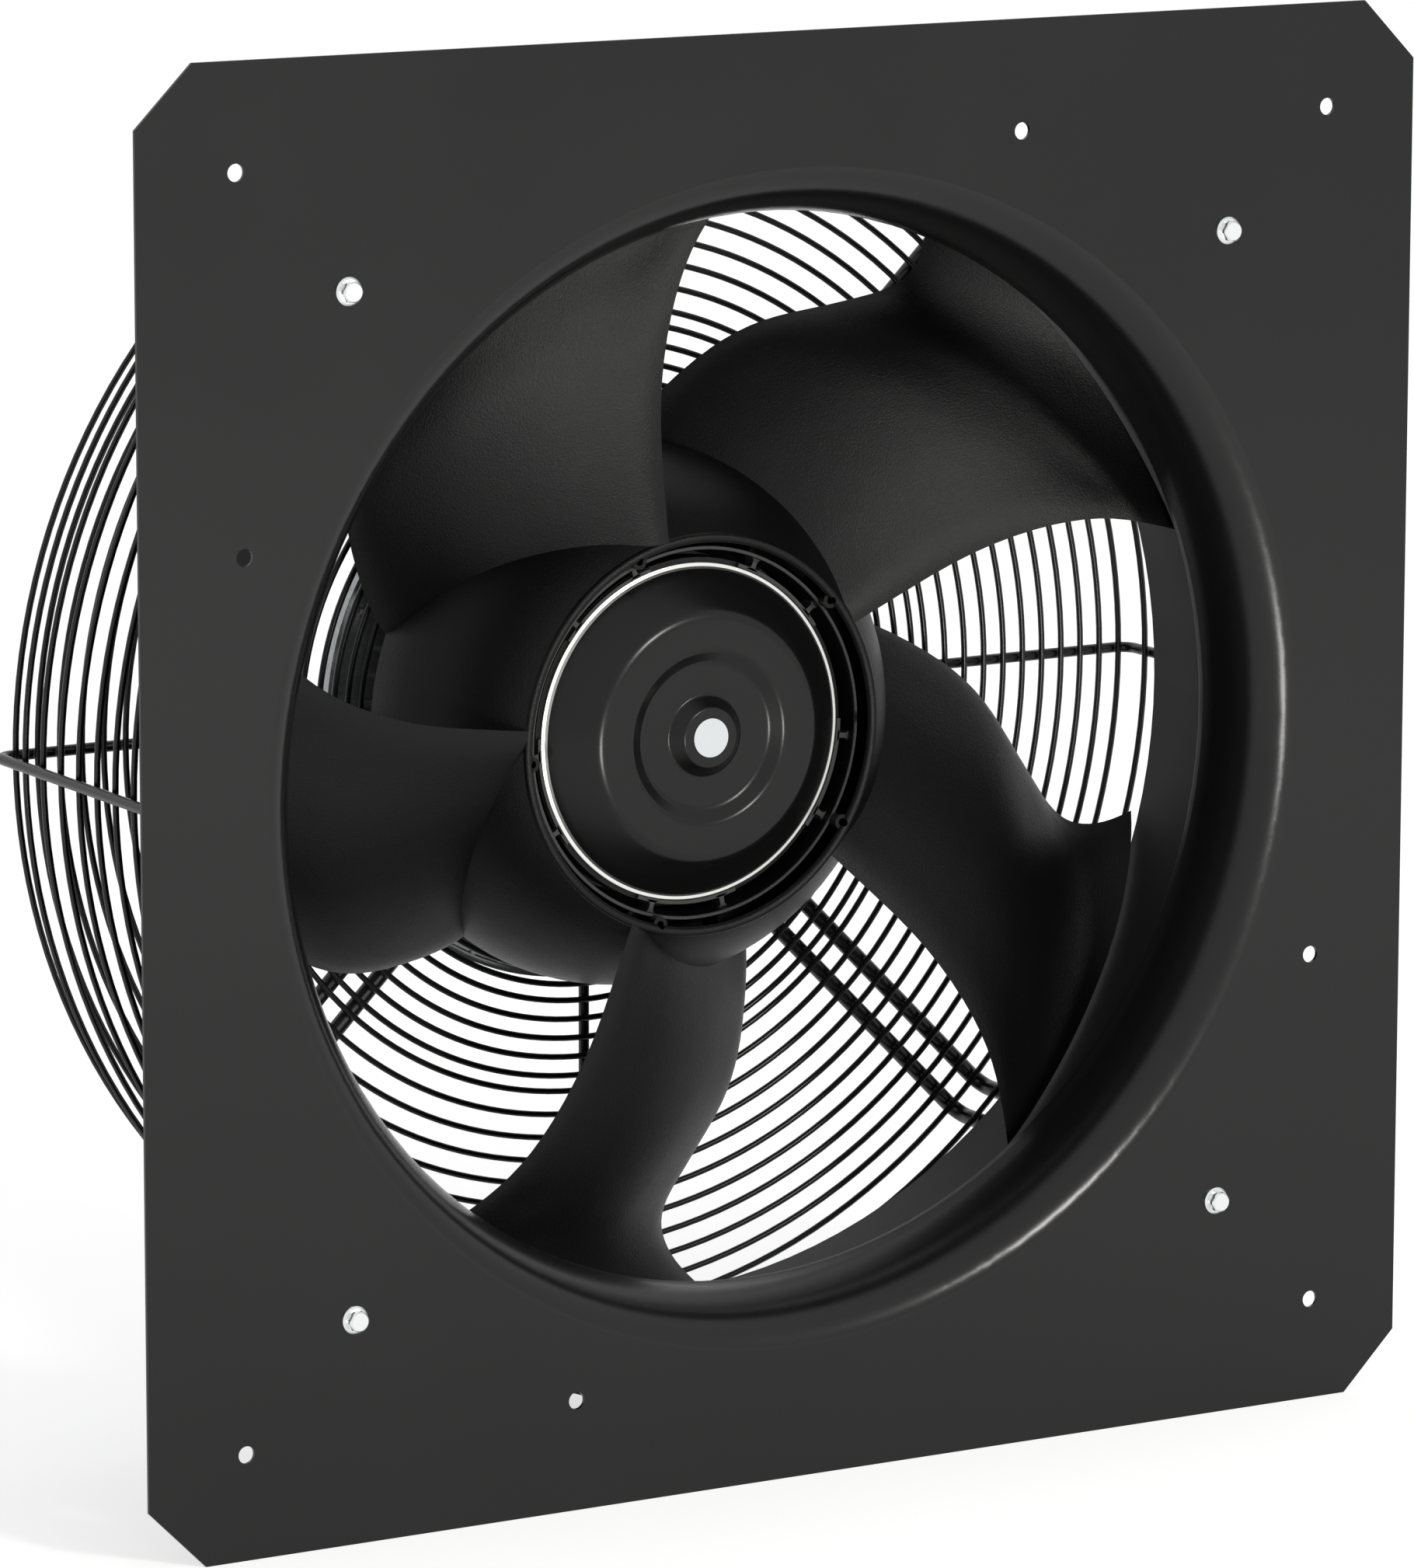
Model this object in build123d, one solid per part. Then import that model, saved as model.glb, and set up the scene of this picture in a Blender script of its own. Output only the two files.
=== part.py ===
from build123d import *
import math
import os

import numpy as np

# Frame: origin on the fan axis in the front face of the wall plate, +Y with the air flow
# (away from the room), +X to the right seen from the front, +Z up. Millimetres.
# Angles about the axis are counted from +X towards +Z, as seen from the front.

# Wall plate and its drawn nozzle
PLATE_SIDE = 585.0
SHEET = 1.5
CORNER_CHAMFER = 24.5
CORNER_HOLE_PITCH = 500.0
RING_HOLE_PCD = 536.0
RING_HOLE_FIRST_ANGLE = 67.5
PLATE_HOLE_DIAMETER = 7.0
GUARD_BOLT_PITCH = 404.0
MOUTH_RADIUS = 238.7
THROAT_RADIUS = 218.0
THROAT_DEPTH = 38.0
SHOULDER_DEPTH = 52.7
NOZZLE_END_RADIUS = 238.4
NOZZLE_END_DEPTH = 105.3

# Impeller
BLADE_COUNT = 5
TIP_RADIUS = 225.0
TIP_GAP = 2.0
HUB_FRONT_RADIUS = 82.0
HUB_FRONT_DEPTH = 76.0
HUB_MID_RADIUS = 103.0
HUB_MID_DEPTH = 102.4
HUB_BACK_RADIUS = 114.0
HUB_BACK_DEPTH = 149.0
HUB_WALL = 2.8
HUB_BEAD_RADIUS = 2.0
COLLAR_WALL = 1.9
COLLAR_FRONT = 88.0
COLLAR_BACK = 128.0
RIM_WALL_RADIUS = 75.4
RIM_WALL = 1.5
RIM_WALL_FRONT = 82.0
RIM_WALL_BACK = 106.0
WEB_DEPTH = 101.0
WEB_THICKNESS = 2.0
RIB_THICKNESS = 1.8
RIB_PAIR_ANGLE = 53.0
RIB_HALF_SPREAD = 13.0
BOSS_ANGLE = 39.7
BOSS_RADIUS = 3.2
BOSS_HOLE_RADIUS = 1.6
BOSS_PITCH_RADIUS = 79.0
BOSS_LENGTH = 15.0

# Blade stations: (radius, angle, depth) of the leading edge and of the trailing edge
LEADING_EDGE = [(82.0, 29.7, 75.3), (146.5, 28.0, 66.1), (198.3, 23.0, 58.8), (225.0, 18.5, 55.8)]
TRAILING_EDGE = [(113.5, 87.7, 150.0), (141.3, 78.9, 142.7), (166.0, 70.9, 134.6), (190.7, 60.5, 124.8),
                 (207.5, 55.9, 120.1), (219.3, 55.3, 115.9), (240.2, 58.4, 108.3)]
WINGLET_START_RADIUS = 205.0
WINGLET_HEIGHT = 2.2
ROOT_CAMBER = 0.075
TIP_CAMBER = 0.041
ROOT_CAMBER_PLACE = 0.5
TIP_CAMBER_PLACE = 0.75
ROOT_BLADE_THICKNESS = 5.0
TIP_BLADE_THICKNESS = 3.0
EDGE_BLUNTNESS = 0.25
BLADE_STACK_ANGLE = 45.0
BLADE_FIRST_PLANE = 68.0
BLADE_WINGLET_PLANE = 176.0
BLADE_LAST_PLANE = 242.0
SECTION_HALF_POINTS = 8

# Rotor of the external rotor motor
ROTOR_RADIUS = 69.6
ROTOR_WALL = 3.4
ROTOR_SHOULDER_DEPTH = 86.6
ROTOR_FACE_RADIUS = 51.3
ROTOR_FACE_DEPTH = 71.6
ROTOR_BACK = 168.0
ROTOR_LAND = 1.6
ROTOR_EDGE = 0.5
RIDGE_INNER_RADIUS = 35.0
RIDGE_OUTER_RADIUS = 44.0
RIDGE_HEIGHT = 2.6
RECESS_RADIUS = 16.8
RECESS_FLOOR_RADIUS = 12.2
RECESS_DEPTH = 2.4
ROTOR_BOSS_RADIUS = 13.0
ROTOR_BOSS_BACK = 93.0
MAGNET_COUNT = 10
MAGNET_THICKNESS = 6.0
MAGNET_GAP_ANGLE = 4.0
MAGNET_FRONT = 112.0
MAGNET_LENGTH = 44.0

# Shaft and bearings
SHAFT_HEAD_RADIUS = 8.0
SHAFT_RADIUS = 6.0
SHAFT_FRONT = 69.6
SHAFT_HEAD_BACK = 91.0
SHAFT_BACK = 173.5
BEARING_OUTER_RADIUS = 16.0
BEARING_WIDTH = 10.0
BEARING_RING_WALL = 2.6
BEARING_GAP = 0.15
BALL_COUNT = 7
BALL_FACETS = 6
FRONT_BEARING_DEPTH = 103.0
REAR_BEARING_DEPTH = 158.0
CAGE_THICKNESS = 0.9
SEAT_CLEARANCE = 0.02
WAVE_WASHER_THICKNESS = 1.2
CLIP_THICKNESS = 1.0
CLIP_WALL = 2.2
CLIP_OPENING_ANGLE = 40.0
CLIP_GROOVE_DEPTH = 0.5

# Stator
TUBE_WALL = 3.5
TUBE_FRONT = 99.0
STATOR_AIR_GAP = 0.8
STATOR_FRONT = 114.0
STATOR_BACK = 154.0
SLOT_COUNT = 12
YOKE_WALL = 6.0
TOOTH_WIDTH = 7.0
TOOTH_HEAD = 3.0
TOOTH_HEAD_GAP = 3.0
COIL_WALL = 3.6
COIL_OVERHANG = 6.0
INSULATOR_THICKNESS = 1.5
COIL_CLEARANCE = 0.3

# Motor flange, electronics housing and what closes it
FLANGE_RADIUS = 56.0
FLANGE_FRONT = 174.0
HOUSING_RADIUS = 94.0
HOUSING_FRONT = 183.0
HOUSING_BACK = 216.0
HOUSING_WALL = 3.0
COOLING_RIM_RADIUS = 118.0
COOLING_RIM_DEPTH = 4.0
COOLING_RIM_WALL = 2.5
FIN_COUNT = 53
FIN_THICKNESS = 2.0
FIN_FRONT = 179.5
COVER_THICKNESS = 4.0
GASKET_THICKNESS = 1.5
BOARD_RADIUS = 74.0
BOARD_THICKNESS = 1.6
BOARD_DEPTH = 199.0
BOARD_PART_HEIGHT = 11.0
POST_RADIUS = 4.0
POST_PITCH_RADIUS = 66.0
COVER_SCREW_COUNT = 6
COVER_SCREW_PITCH_RADIUS = 85.0
COVER_SCREW_RADIUS = 2.0
SCREW_BOSS_RADIUS = 5.0
GLAND_DEPTH = 202.0
GLAND_ANGLE = 90.0
GLAND_THREAD_RADIUS = 8.0
GLAND_HEX = 20.0
GLAND_BORE_RADIUS = 4.5
GLAND_BODY_LENGTH = 11.0
GLAND_NUT_LENGTH = 15.2
GLAND_COLLAR = 4.0

# Motor mounting ring and its screws
RING_INNER_RADIUS = 58.0
RING_OUTER_RADIUS = 92.0
RING_THICKNESS = 3.0
MOTOR_SCREW_COUNT = 4
MOTOR_SCREW_PITCH_RADIUS = 76.0
MOTOR_SCREW_RADIUS = 2.5
MOTOR_SCREW_LENGTH = 9.0

# Wire guard
RING_WIRE = 2.6
WIRE_SIDES = 8
STRUT_WIRE = 4.5
ROD_WIRE = 7.0
WELD_GAP = 0.05
GUARD_FACE_DEPTH = 170.8
OUTER_RING_FIRST_RADIUS = 165.1
OUTER_RING_PITCH = 9.8
OUTER_RING_COUNT = 11
MIDDLE_RING_FIRST_RADIUS = 126.5
MIDDLE_RING_PITCH = 8.0
MIDDLE_RING_COUNT = 5
INNER_RING_FIRST_RADIUS = 107.0
INNER_RING_PITCH = 6.3
INNER_RING_COUNT = 3
SIDE_RING_RADIUS = 266.4
SIDE_RING_FIRST_DEPTH = 27.0
SIDE_RING_PITCH = 16.0
SIDE_RING_COUNT = 9
STRUT_INNER_RADIUS = 104.0
STRUT_END_DEPTH = 22.0
STRUT_BEND_RADIUS = 7.0
ROD_INNER_RADIUS = 64.0
ROD_SPACING = 16.0
ROD_BEND_RADIUS = 8.5
FOOT_WIDTH = 30.0
FOOT_THICKNESS = 3.0
FOOT_OVERHANG = 9.0

# Fasteners
BOLT_RADIUS = 2.5
BOLT_CLEARANCE = 0.25
BOLT_HEX = 8.0
BOLT_HEAD_HEIGHT = 4.6
BOLT_FLANGE_RADIUS = 5.6
BOLT_FLANGE_THICKNESS = 1.2
BOLT_LENGTH = 14.0
NUT_HEIGHT = 4.7


def polar(radius, angle, depth=0.0):
    """A point given by radius and angle about the fan axis."""
    turn = math.radians(angle)
    return Vector(radius * math.cos(turn), depth, radius * math.sin(turn))


def turned(part, angle):
    """The part turned about the fan axis, counter-clockwise seen from the front."""
    return Rot(0, -angle, 0) * part


def around(part, count, first_angle=0.0):
    """Copies of the part spread evenly about the fan axis."""
    return [turned(part, first_angle + 360.0 * i / count) for i in range(count)]


def revolved(*outline):
    """A body turned about the fan axis from a closed outline of (radius, depth) points."""
    return revolve(make_face(Polyline(*outline, close=True)), Axis.Y)


def ring(inner_radius, outer_radius, front, back):
    """A plain turned ring about the fan axis."""
    return revolved((inner_radius, front), (outer_radius, front), (outer_radius, back), (inner_radius, back))


def pin(radius, front, back, place=(0.0, 0.0, 0.0)):
    """A round pin along Y from one depth to another, through a place."""
    middle = Pos(place[0], (front + back) / 2, place[2])
    return middle * Rot(90, 0, 0) * Cylinder(radius, back - front)


def hexagon_bar(across_flats, front, back, place=(0.0, 0.0, 0.0)):
    """A hexagonal bar along Y."""
    sketch = Plane.XZ * RegularPolygon(across_flats / 2, 6, major_radius=False)
    return Pos(place[0], back, place[2]) * extrude(sketch, back - front)


def wire_ring(radius, depth, wire):
    """A closed ring of round wire about the fan axis."""
    return revolve(Pos(radius, depth) * Circle(wire / 2), Axis.Y)


def guard_ring(radius, depth):
    """A guard ring, its thin wire drawn with few flat sides to keep its facets few."""
    section = RegularPolygon(RING_WIRE / 2, WIRE_SIDES, major_radius=False, rotation=180 / WIRE_SIDES)
    return revolve(Pos(radius, depth) * section, Axis.Y)


def bent_wire(points, bend_radius, wire):
    """A round wire along straight runs joined by bends."""
    path = FilletPolyline(*points, radius=bend_radius)
    start = Plane(origin=path @ 0, z_dir=path % 0)
    return sweep(start * Circle(wire / 2), path=path)


def corner_places(pitch):
    """The four corners of a square hole pattern on the plate."""
    half = pitch / 2
    return [(x, 0.0, z) for x in (-half, half) for z in (-half, half)]


def ring_hole_places():
    """The four holes on the bolt circle, midway between the plate's axes and diagonals."""
    return [polar(RING_HOLE_PCD / 2, RING_HOLE_FIRST_ANGLE + 90.0 * i) for i in range(4)]


def nozzle_wall(inset):
    """One wall of the nozzle: a quarter ellipse to the throat, a flare and a cone."""
    centre = (MOUTH_RADIUS, THROAT_DEPTH)
    mouth = EllipticalCenterArc(centre, MOUTH_RADIUS - THROAT_RADIUS - inset, THROAT_DEPTH - inset, 180, arc_size=90)
    throat = (THROAT_RADIUS + inset, THROAT_DEPTH)
    shoulder = (TIP_RADIUS + TIP_GAP + inset, SHOULDER_DEPTH)
    end = (NOZZLE_END_RADIUS + inset, NOZZLE_END_DEPTH)
    cone = (end[0] - shoulder[0], end[1] - shoulder[1])
    flare = Spline(throat, shoulder, tangents=[(0, 1), cone])
    return mouth, flare, Line(shoulder, end)


def wall_plate():
    """Square sheet with chamfered corners and a nozzle drawn from it."""
    sheet = Pos(0, SHEET / 2, 0) * Box(PLATE_SIDE, SHEET, PLATE_SIDE)
    sheet = chamfer(sheet.edges().filter_by(Axis.Y), CORNER_CHAMFER)
    sheet -= pin(MOUTH_RADIUS, -SHEET, 2 * SHEET)
    inner = nozzle_wall(0.0)
    outer = nozzle_wall(SHEET)
    start = Line((MOUTH_RADIUS, 0), (MOUTH_RADIUS, SHEET))
    end = Line((NOZZLE_END_RADIUS, NOZZLE_END_DEPTH), (NOZZLE_END_RADIUS + SHEET, NOZZLE_END_DEPTH))
    nozzle = revolve(make_face([*inner, *outer, start, end]), Axis.Y)
    plate = sheet + nozzle
    for place in corner_places(CORNER_HOLE_PITCH) + ring_hole_places():
        plate -= pin(PLATE_HOLE_DIAMETER / 2, -SHEET, 2 * SHEET, tuple(place))
    for place in corner_places(GUARD_BOLT_PITCH):
        plate -= pin(BOLT_RADIUS + BOLT_CLEARANCE, -SHEET, 2 * SHEET, place)
    return plate


def smooth_value(stations, radius):
    """Angle and depth at a radius, on a smooth curve through the stations."""
    table = np.array(stations)
    slopes = np.gradient(table[:, 1:], table[:, 0], axis=0)
    k = int(np.clip(np.searchsorted(table[:, 0], radius) - 1, 0, len(table) - 2))
    width = table[k + 1, 0] - table[k, 0]
    t = (radius - table[k, 0]) / width
    if t < 0.0 or t > 1.0:
        end = k if t < 0.0 else k + 1
        return table[end, 1:] + slopes[end] * (radius - table[end, 0])
    start = (2 * t**3 - 3 * t**2 + 1) * table[k, 1:] + (t**3 - 2 * t**2 + t) * width * slopes[k]
    finish = (3 * t**2 - 2 * t**3) * table[k + 1, 1:] + (t**3 - t**2) * width * slopes[k + 1]
    return start + finish


def blade_line(radius, fraction):
    """Angle and depth of the blade's middle surface, from leading (0) to trailing edge (1)."""
    reach = min(radius, NOZZLE_END_RADIUS + TIP_GAP)
    leading = smooth_value(LEADING_EDGE, reach)
    trailing = smooth_value(TRAILING_EDGE, reach)
    span = (reach - HUB_FRONT_RADIUS) / (TIP_RADIUS - HUB_FRONT_RADIUS)
    angle, depth = leading + (trailing - leading) * fraction
    sweep_length = math.radians(trailing[0] - leading[0]) * reach
    chord = math.hypot(sweep_length, trailing[1] - leading[1])
    camber = (ROOT_CAMBER + (TIP_CAMBER - ROOT_CAMBER) * span) * chord
    place = ROOT_CAMBER_PLACE + (TIP_CAMBER_PLACE - ROOT_CAMBER_PLACE) * min(span, 1.0) ** 2
    power = place / (1 - place)
    bow = fraction**power * (1 - fraction) / (place**power * (1 - place))
    bend = max(0.0, (reach - WINGLET_START_RADIUS) / (TIP_RADIUS - WINGLET_START_RADIUS))
    depth -= camber * bow + WINGLET_HEIGHT * bend * (1 - fraction) ** 2
    pitch = math.atan2(trailing[1] - leading[1], sweep_length)
    return angle - BLADE_STACK_ANGLE, depth, pitch, span


def blade_section(plane, fraction, side):
    """A point of the blade's skin where it crosses a plane square to the stacking line."""
    radius = plane
    for _ in range(30):
        angle, depth, pitch, span = blade_line(radius, fraction)
        radius = plane / math.cos(math.radians(angle))
    thickness = ROOT_BLADE_THICKNESS + (TIP_BLADE_THICKNESS - ROOT_BLADE_THICKNESS) * min(span, 1.0)
    half = side * thickness / 2 * (4 * fraction * (1 - fraction)) ** EDGE_BLUNTNESS
    across = plane * math.tan(math.radians(angle)) - half * math.sin(pitch)
    return (plane, depth + half * math.cos(pitch), across)


def blade():
    """One swept and twisted blade with its tip bent forward, lofted through its sections."""
    inboard = np.linspace(BLADE_FIRST_PLANE, BLADE_WINGLET_PLANE, 7)[:-1]
    outboard = np.linspace(BLADE_WINGLET_PLANE, BLADE_LAST_PLANE, 8)
    steps = [(1 - math.cos(math.pi * i / SECTION_HALF_POINTS)) / 2 for i in range(SECTION_HALF_POINTS + 1)]
    sections = []
    for plane in [float(value) for value in (*inboard, *outboard)]:
        front = [blade_section(plane, f, -1) for f in steps]
        back = [blade_section(plane, f, 1) for f in steps[-2:0:-1]]
        sections.append(make_face([Spline(*front), Spline(front[-1], *back, front[0])]))
    return turned(loft(sections), BLADE_STACK_ANGLE)


def hub_arc(inset):
    """The hub's flared wall as part of a circle through three places."""
    (ax, ay), (bx, by), (cx, cy) = (
        (HUB_FRONT_RADIUS, HUB_FRONT_DEPTH), (HUB_MID_RADIUS, HUB_MID_DEPTH), (HUB_BACK_RADIUS, HUB_BACK_DEPTH)
    )
    twice = 2 * (ax * (by - cy) + bx * (cy - ay) + cx * (ay - by))
    a2, b2, c2 = ax**2 + ay**2, bx**2 + by**2, cx**2 + cy**2
    centre = Vector(
        (a2 * (by - cy) + b2 * (cy - ay) + c2 * (ay - by)) / twice, (a2 * (cx - bx) + b2 * (ax - cx) + c2 * (bx - ax)) / twice
    )
    places = [Vector(ax, ay), Vector(bx, by), Vector(cx, cy)]
    return ThreePointArc(*[centre + (p - centre) * (1 - inset / (p - centre).length) for p in places])


def hub_core():
    """The space inside the hub's flared wall."""
    wall = hub_arc(HUB_WALL / 2)
    front = wall @ 0
    back = wall @ 1
    corners = Polyline(
        (front.X, front.Y), (front.X, 0), (0, 0), (0, 2 * back.Y), (back.X, 2 * back.Y), (back.X, back.Y)
    )
    return revolve(make_face([wall, *corners.edges()]), Axis.Y)


def blade_room():
    """The space that the blades may fill: outside the hub's lip and inside the nozzle by the tip gap."""
    slope = (NOZZLE_END_RADIUS - TIP_GAP - TIP_RADIUS) / (NOZZLE_END_DEPTH - SHOULDER_DEPTH)
    inner = HUB_FRONT_RADIUS - HUB_WALL
    back = 2 * HUB_BACK_DEPTH
    return revolved((inner, 0), (TIP_RADIUS, 0), (TIP_RADIUS, SHOULDER_DEPTH),
                    (TIP_RADIUS + slope * (back - SHOULDER_DEPTH), back), (inner, back))


def impeller():
    """Moulded impeller: flared hub, collar on the rotor, ribs, balancing bosses and blades."""
    outer = hub_arc(0.0)
    inner = hub_arc(HUB_WALL)
    hub = revolve(make_face([outer, inner, Line(outer @ 0, inner @ 0), Line(outer @ 1, inner @ 1)]), Axis.Y)
    bead_place = (outer @ 0 + inner @ 0) / 2
    hub += revolve(Pos(bead_place.X, bead_place.Y) * Circle(HUB_BEAD_RADIUS), Axis.Y)
    hub += ring(ROTOR_RADIUS, ROTOR_RADIUS + COLLAR_WALL, COLLAR_FRONT, COLLAR_BACK)
    hub += ring(RIM_WALL_RADIUS, RIM_WALL_RADIUS + RIM_WALL, RIM_WALL_FRONT, RIM_WALL_BACK)
    web_reach = (inner @ 0.45).X
    web = ring(RIM_WALL_RADIUS, web_reach, WEB_DEPTH, WEB_DEPTH + WEB_THICKNESS)
    hub += web
    rib_inner = ROTOR_RADIUS + COLLAR_WALL / 2
    rib = Pos((rib_inner + web_reach) / 2, 0, 0) * Pos(0, (COLLAR_BACK + COLLAR_FRONT) / 2 + RIB_THICKNESS, 0) * Box(
        web_reach - rib_inner, COLLAR_BACK - COLLAR_FRONT - 2 * RIB_THICKNESS, RIB_THICKNESS
    )
    rib = rib & hub_core()
    for side in (-RIB_HALF_SPREAD, RIB_HALF_SPREAD):
        for copy in around(rib, BLADE_COUNT, RIB_PAIR_ANGLE + side):
            hub += copy
    boss = pin(BOSS_RADIUS, HUB_FRONT_DEPTH + 1, HUB_FRONT_DEPTH + BOSS_LENGTH, tuple(polar(BOSS_PITCH_RADIUS, 0)))
    for copy in around(boss, BLADE_COUNT, BOSS_ANGLE):
        hub += copy
    keep = blade_room()
    one = (blade() & keep) - hub_core()
    for copy in around(one, BLADE_COUNT):
        hub += copy
    hole = pin(BOSS_HOLE_RADIUS, 0, HUB_BACK_DEPTH, tuple(polar(BOSS_PITCH_RADIUS, 0)))
    for copy in around(hole, BLADE_COUNT, BOSS_ANGLE):
        hub -= copy
    return hub


def rotor_shell():
    """Deep-drawn rotor can with a stepped front face and a boss for the shaft."""
    face = ROTOR_FACE_DEPTH
    inner = ROTOR_RADIUS - ROTOR_WALL
    slope = Line((ROTOR_FACE_RADIUS, face), (ROTOR_RADIUS - ROTOR_LAND, ROTOR_SHOULDER_DEPTH))
    ridge_middle = (RIDGE_INNER_RADIUS + RIDGE_OUTER_RADIUS) / 2
    front = [
        Line((SHAFT_HEAD_RADIUS, face), (RECESS_FLOOR_RADIUS, face)),
        Line((RECESS_FLOOR_RADIUS, face), (RECESS_FLOOR_RADIUS, face + RECESS_DEPTH)),
        Line((RECESS_FLOOR_RADIUS, face + RECESS_DEPTH), (RECESS_RADIUS, face)),
        Line((RECESS_RADIUS, face), (RIDGE_INNER_RADIUS, face)),
        ThreePointArc((RIDGE_INNER_RADIUS, face), (ridge_middle, face - RIDGE_HEIGHT), (RIDGE_OUTER_RADIUS, face)),
        Line((RIDGE_OUTER_RADIUS, face), (ROTOR_FACE_RADIUS, face)),
        slope,
    ]
    back = Polyline(
        (ROTOR_RADIUS - ROTOR_LAND, ROTOR_SHOULDER_DEPTH), (ROTOR_RADIUS - ROTOR_EDGE, ROTOR_SHOULDER_DEPTH),
        (ROTOR_RADIUS, ROTOR_SHOULDER_DEPTH + ROTOR_EDGE), (ROTOR_RADIUS, ROTOR_BACK), (inner, ROTOR_BACK),
        (inner, ROTOR_SHOULDER_DEPTH + 2 * ROTOR_WALL), (ROTOR_FACE_RADIUS, face + 2 * ROTOR_WALL),
        (ROTOR_BOSS_RADIUS, face + 2 * ROTOR_WALL), (ROTOR_BOSS_RADIUS, ROTOR_BOSS_BACK),
        (SHAFT_HEAD_RADIUS, ROTOR_BOSS_BACK), (SHAFT_HEAD_RADIUS, face),
    )
    return revolve(make_face([*front, *back.edges()]), Axis.Y)


def rotor_magnets():
    """Curved magnets bonded inside the rotor can."""
    outer = ROTOR_RADIUS - ROTOR_WALL
    section = make_face(Polyline(
        (outer - MAGNET_THICKNESS, MAGNET_FRONT), (outer, MAGNET_FRONT),
        (outer, MAGNET_FRONT + MAGNET_LENGTH), (outer - MAGNET_THICKNESS, MAGNET_FRONT + MAGNET_LENGTH), close=True
    ))
    magnet = revolve(section, Axis.Y, 360.0 / MAGNET_COUNT - MAGNET_GAP_ANGLE)
    return around(magnet, MAGNET_COUNT)


def shaft():
    """Steel shaft: a wide head pressed in the rotor boss and a journal for both bearings."""
    body = ring(0, SHAFT_HEAD_RADIUS, SHAFT_FRONT, SHAFT_HEAD_BACK)
    body += ring(0, SHAFT_RADIUS, SHAFT_HEAD_BACK, SHAFT_BACK)
    groove_front = REAR_BEARING_DEPTH + BEARING_WIDTH
    groove = ring(SHAFT_RADIUS - CLIP_GROOVE_DEPTH, SHAFT_RADIUS + 1, groove_front, groove_front + CLIP_THICKNESS)
    return body - groove


def retaining_ring():
    """Spring-steel ring in the shaft groove behind the rear bearing."""
    front = REAR_BEARING_DEPTH + BEARING_WIDTH
    inner = SHAFT_RADIUS - CLIP_GROOVE_DEPTH + SEAT_CLEARANCE
    whole = make_face(Polyline(
        (inner, front), (inner + CLIP_WALL, front),
        (inner + CLIP_WALL, front + CLIP_THICKNESS), (inner, front + CLIP_THICKNESS), close=True
    ))
    return revolve(whole, Axis.Y, 360.0 - CLIP_OPENING_ANGLE)


def ball_size():
    """Ball radius and ball circle radius of the bearings."""
    inner_edge = SHAFT_RADIUS + BEARING_RING_WALL
    outer_edge = BEARING_OUTER_RADIUS - BEARING_RING_WALL
    track = 1.0
    return (outer_edge - inner_edge) / 2 + track, (outer_edge + inner_edge) / 2


def bearing_track(depth):
    """The torus that cuts the ball track into both rings."""
    ball, circle = ball_size()
    return wire_ring(circle, depth + BEARING_WIDTH / 2, 2 * (ball + BEARING_GAP))


def bearing_outer_ring(depth):
    """Outer ring of a deep-groove ball bearing."""
    outer = BEARING_OUTER_RADIUS
    return ring(outer - BEARING_RING_WALL, outer, depth, depth + BEARING_WIDTH) - bearing_track(depth)


def bearing_inner_ring(depth):
    """Inner ring of a deep-groove ball bearing."""
    inner = SHAFT_RADIUS
    return ring(inner, inner + BEARING_RING_WALL, depth, depth + BEARING_WIDTH) - bearing_track(depth)


def ball_body(radius):
    """A ball turned from a half circle of straight steps, to keep its facets few."""
    steps = [math.pi * (i / BALL_FACETS - 0.5) for i in range(BALL_FACETS + 1)]
    outline = [(radius * math.cos(a), radius * math.sin(a)) for a in steps]
    return revolve(make_face(Polyline(*outline, close=True)), Axis.Y)


def bearing_cage(depth):
    """Balls and the cage that spaces them."""
    ball, circle = ball_size()
    middle = depth + BEARING_WIDTH / 2
    cage = ring(circle - CAGE_THICKNESS, circle + CAGE_THICKNESS, middle - ball * 1.3, middle + ball * 0.4)
    balls = around(Pos(circle, middle, 0) * ball_body(ball), BALL_COUNT)
    for item in balls:
        cage -= item
    return [cage, *balls]


def wave_washer():
    """Preload spring between the front bearing and the shoulder of the tube."""
    front = FRONT_BEARING_DEPTH + BEARING_WIDTH
    inner = BEARING_OUTER_RADIUS - BEARING_RING_WALL
    return ring(inner, BEARING_OUTER_RADIUS - 0.2, front, front + WAVE_WASHER_THICKNESS)


def motor_flange():
    """Die-cast flange with the tube that carries both bearings and the stator."""
    tube = BEARING_OUTER_RADIUS + TUBE_WALL
    body = ring(BEARING_OUTER_RADIUS, tube, TUBE_FRONT, FLANGE_FRONT)
    body += ring(BEARING_OUTER_RADIUS, FLANGE_RADIUS, FLANGE_FRONT, HOUSING_FRONT)
    shoulder_front = FRONT_BEARING_DEPTH + BEARING_WIDTH + WAVE_WASHER_THICKNESS
    body += ring(BEARING_OUTER_RADIUS - BEARING_RING_WALL, BEARING_OUTER_RADIUS, shoulder_front, REAR_BEARING_DEPTH)
    return body


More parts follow.
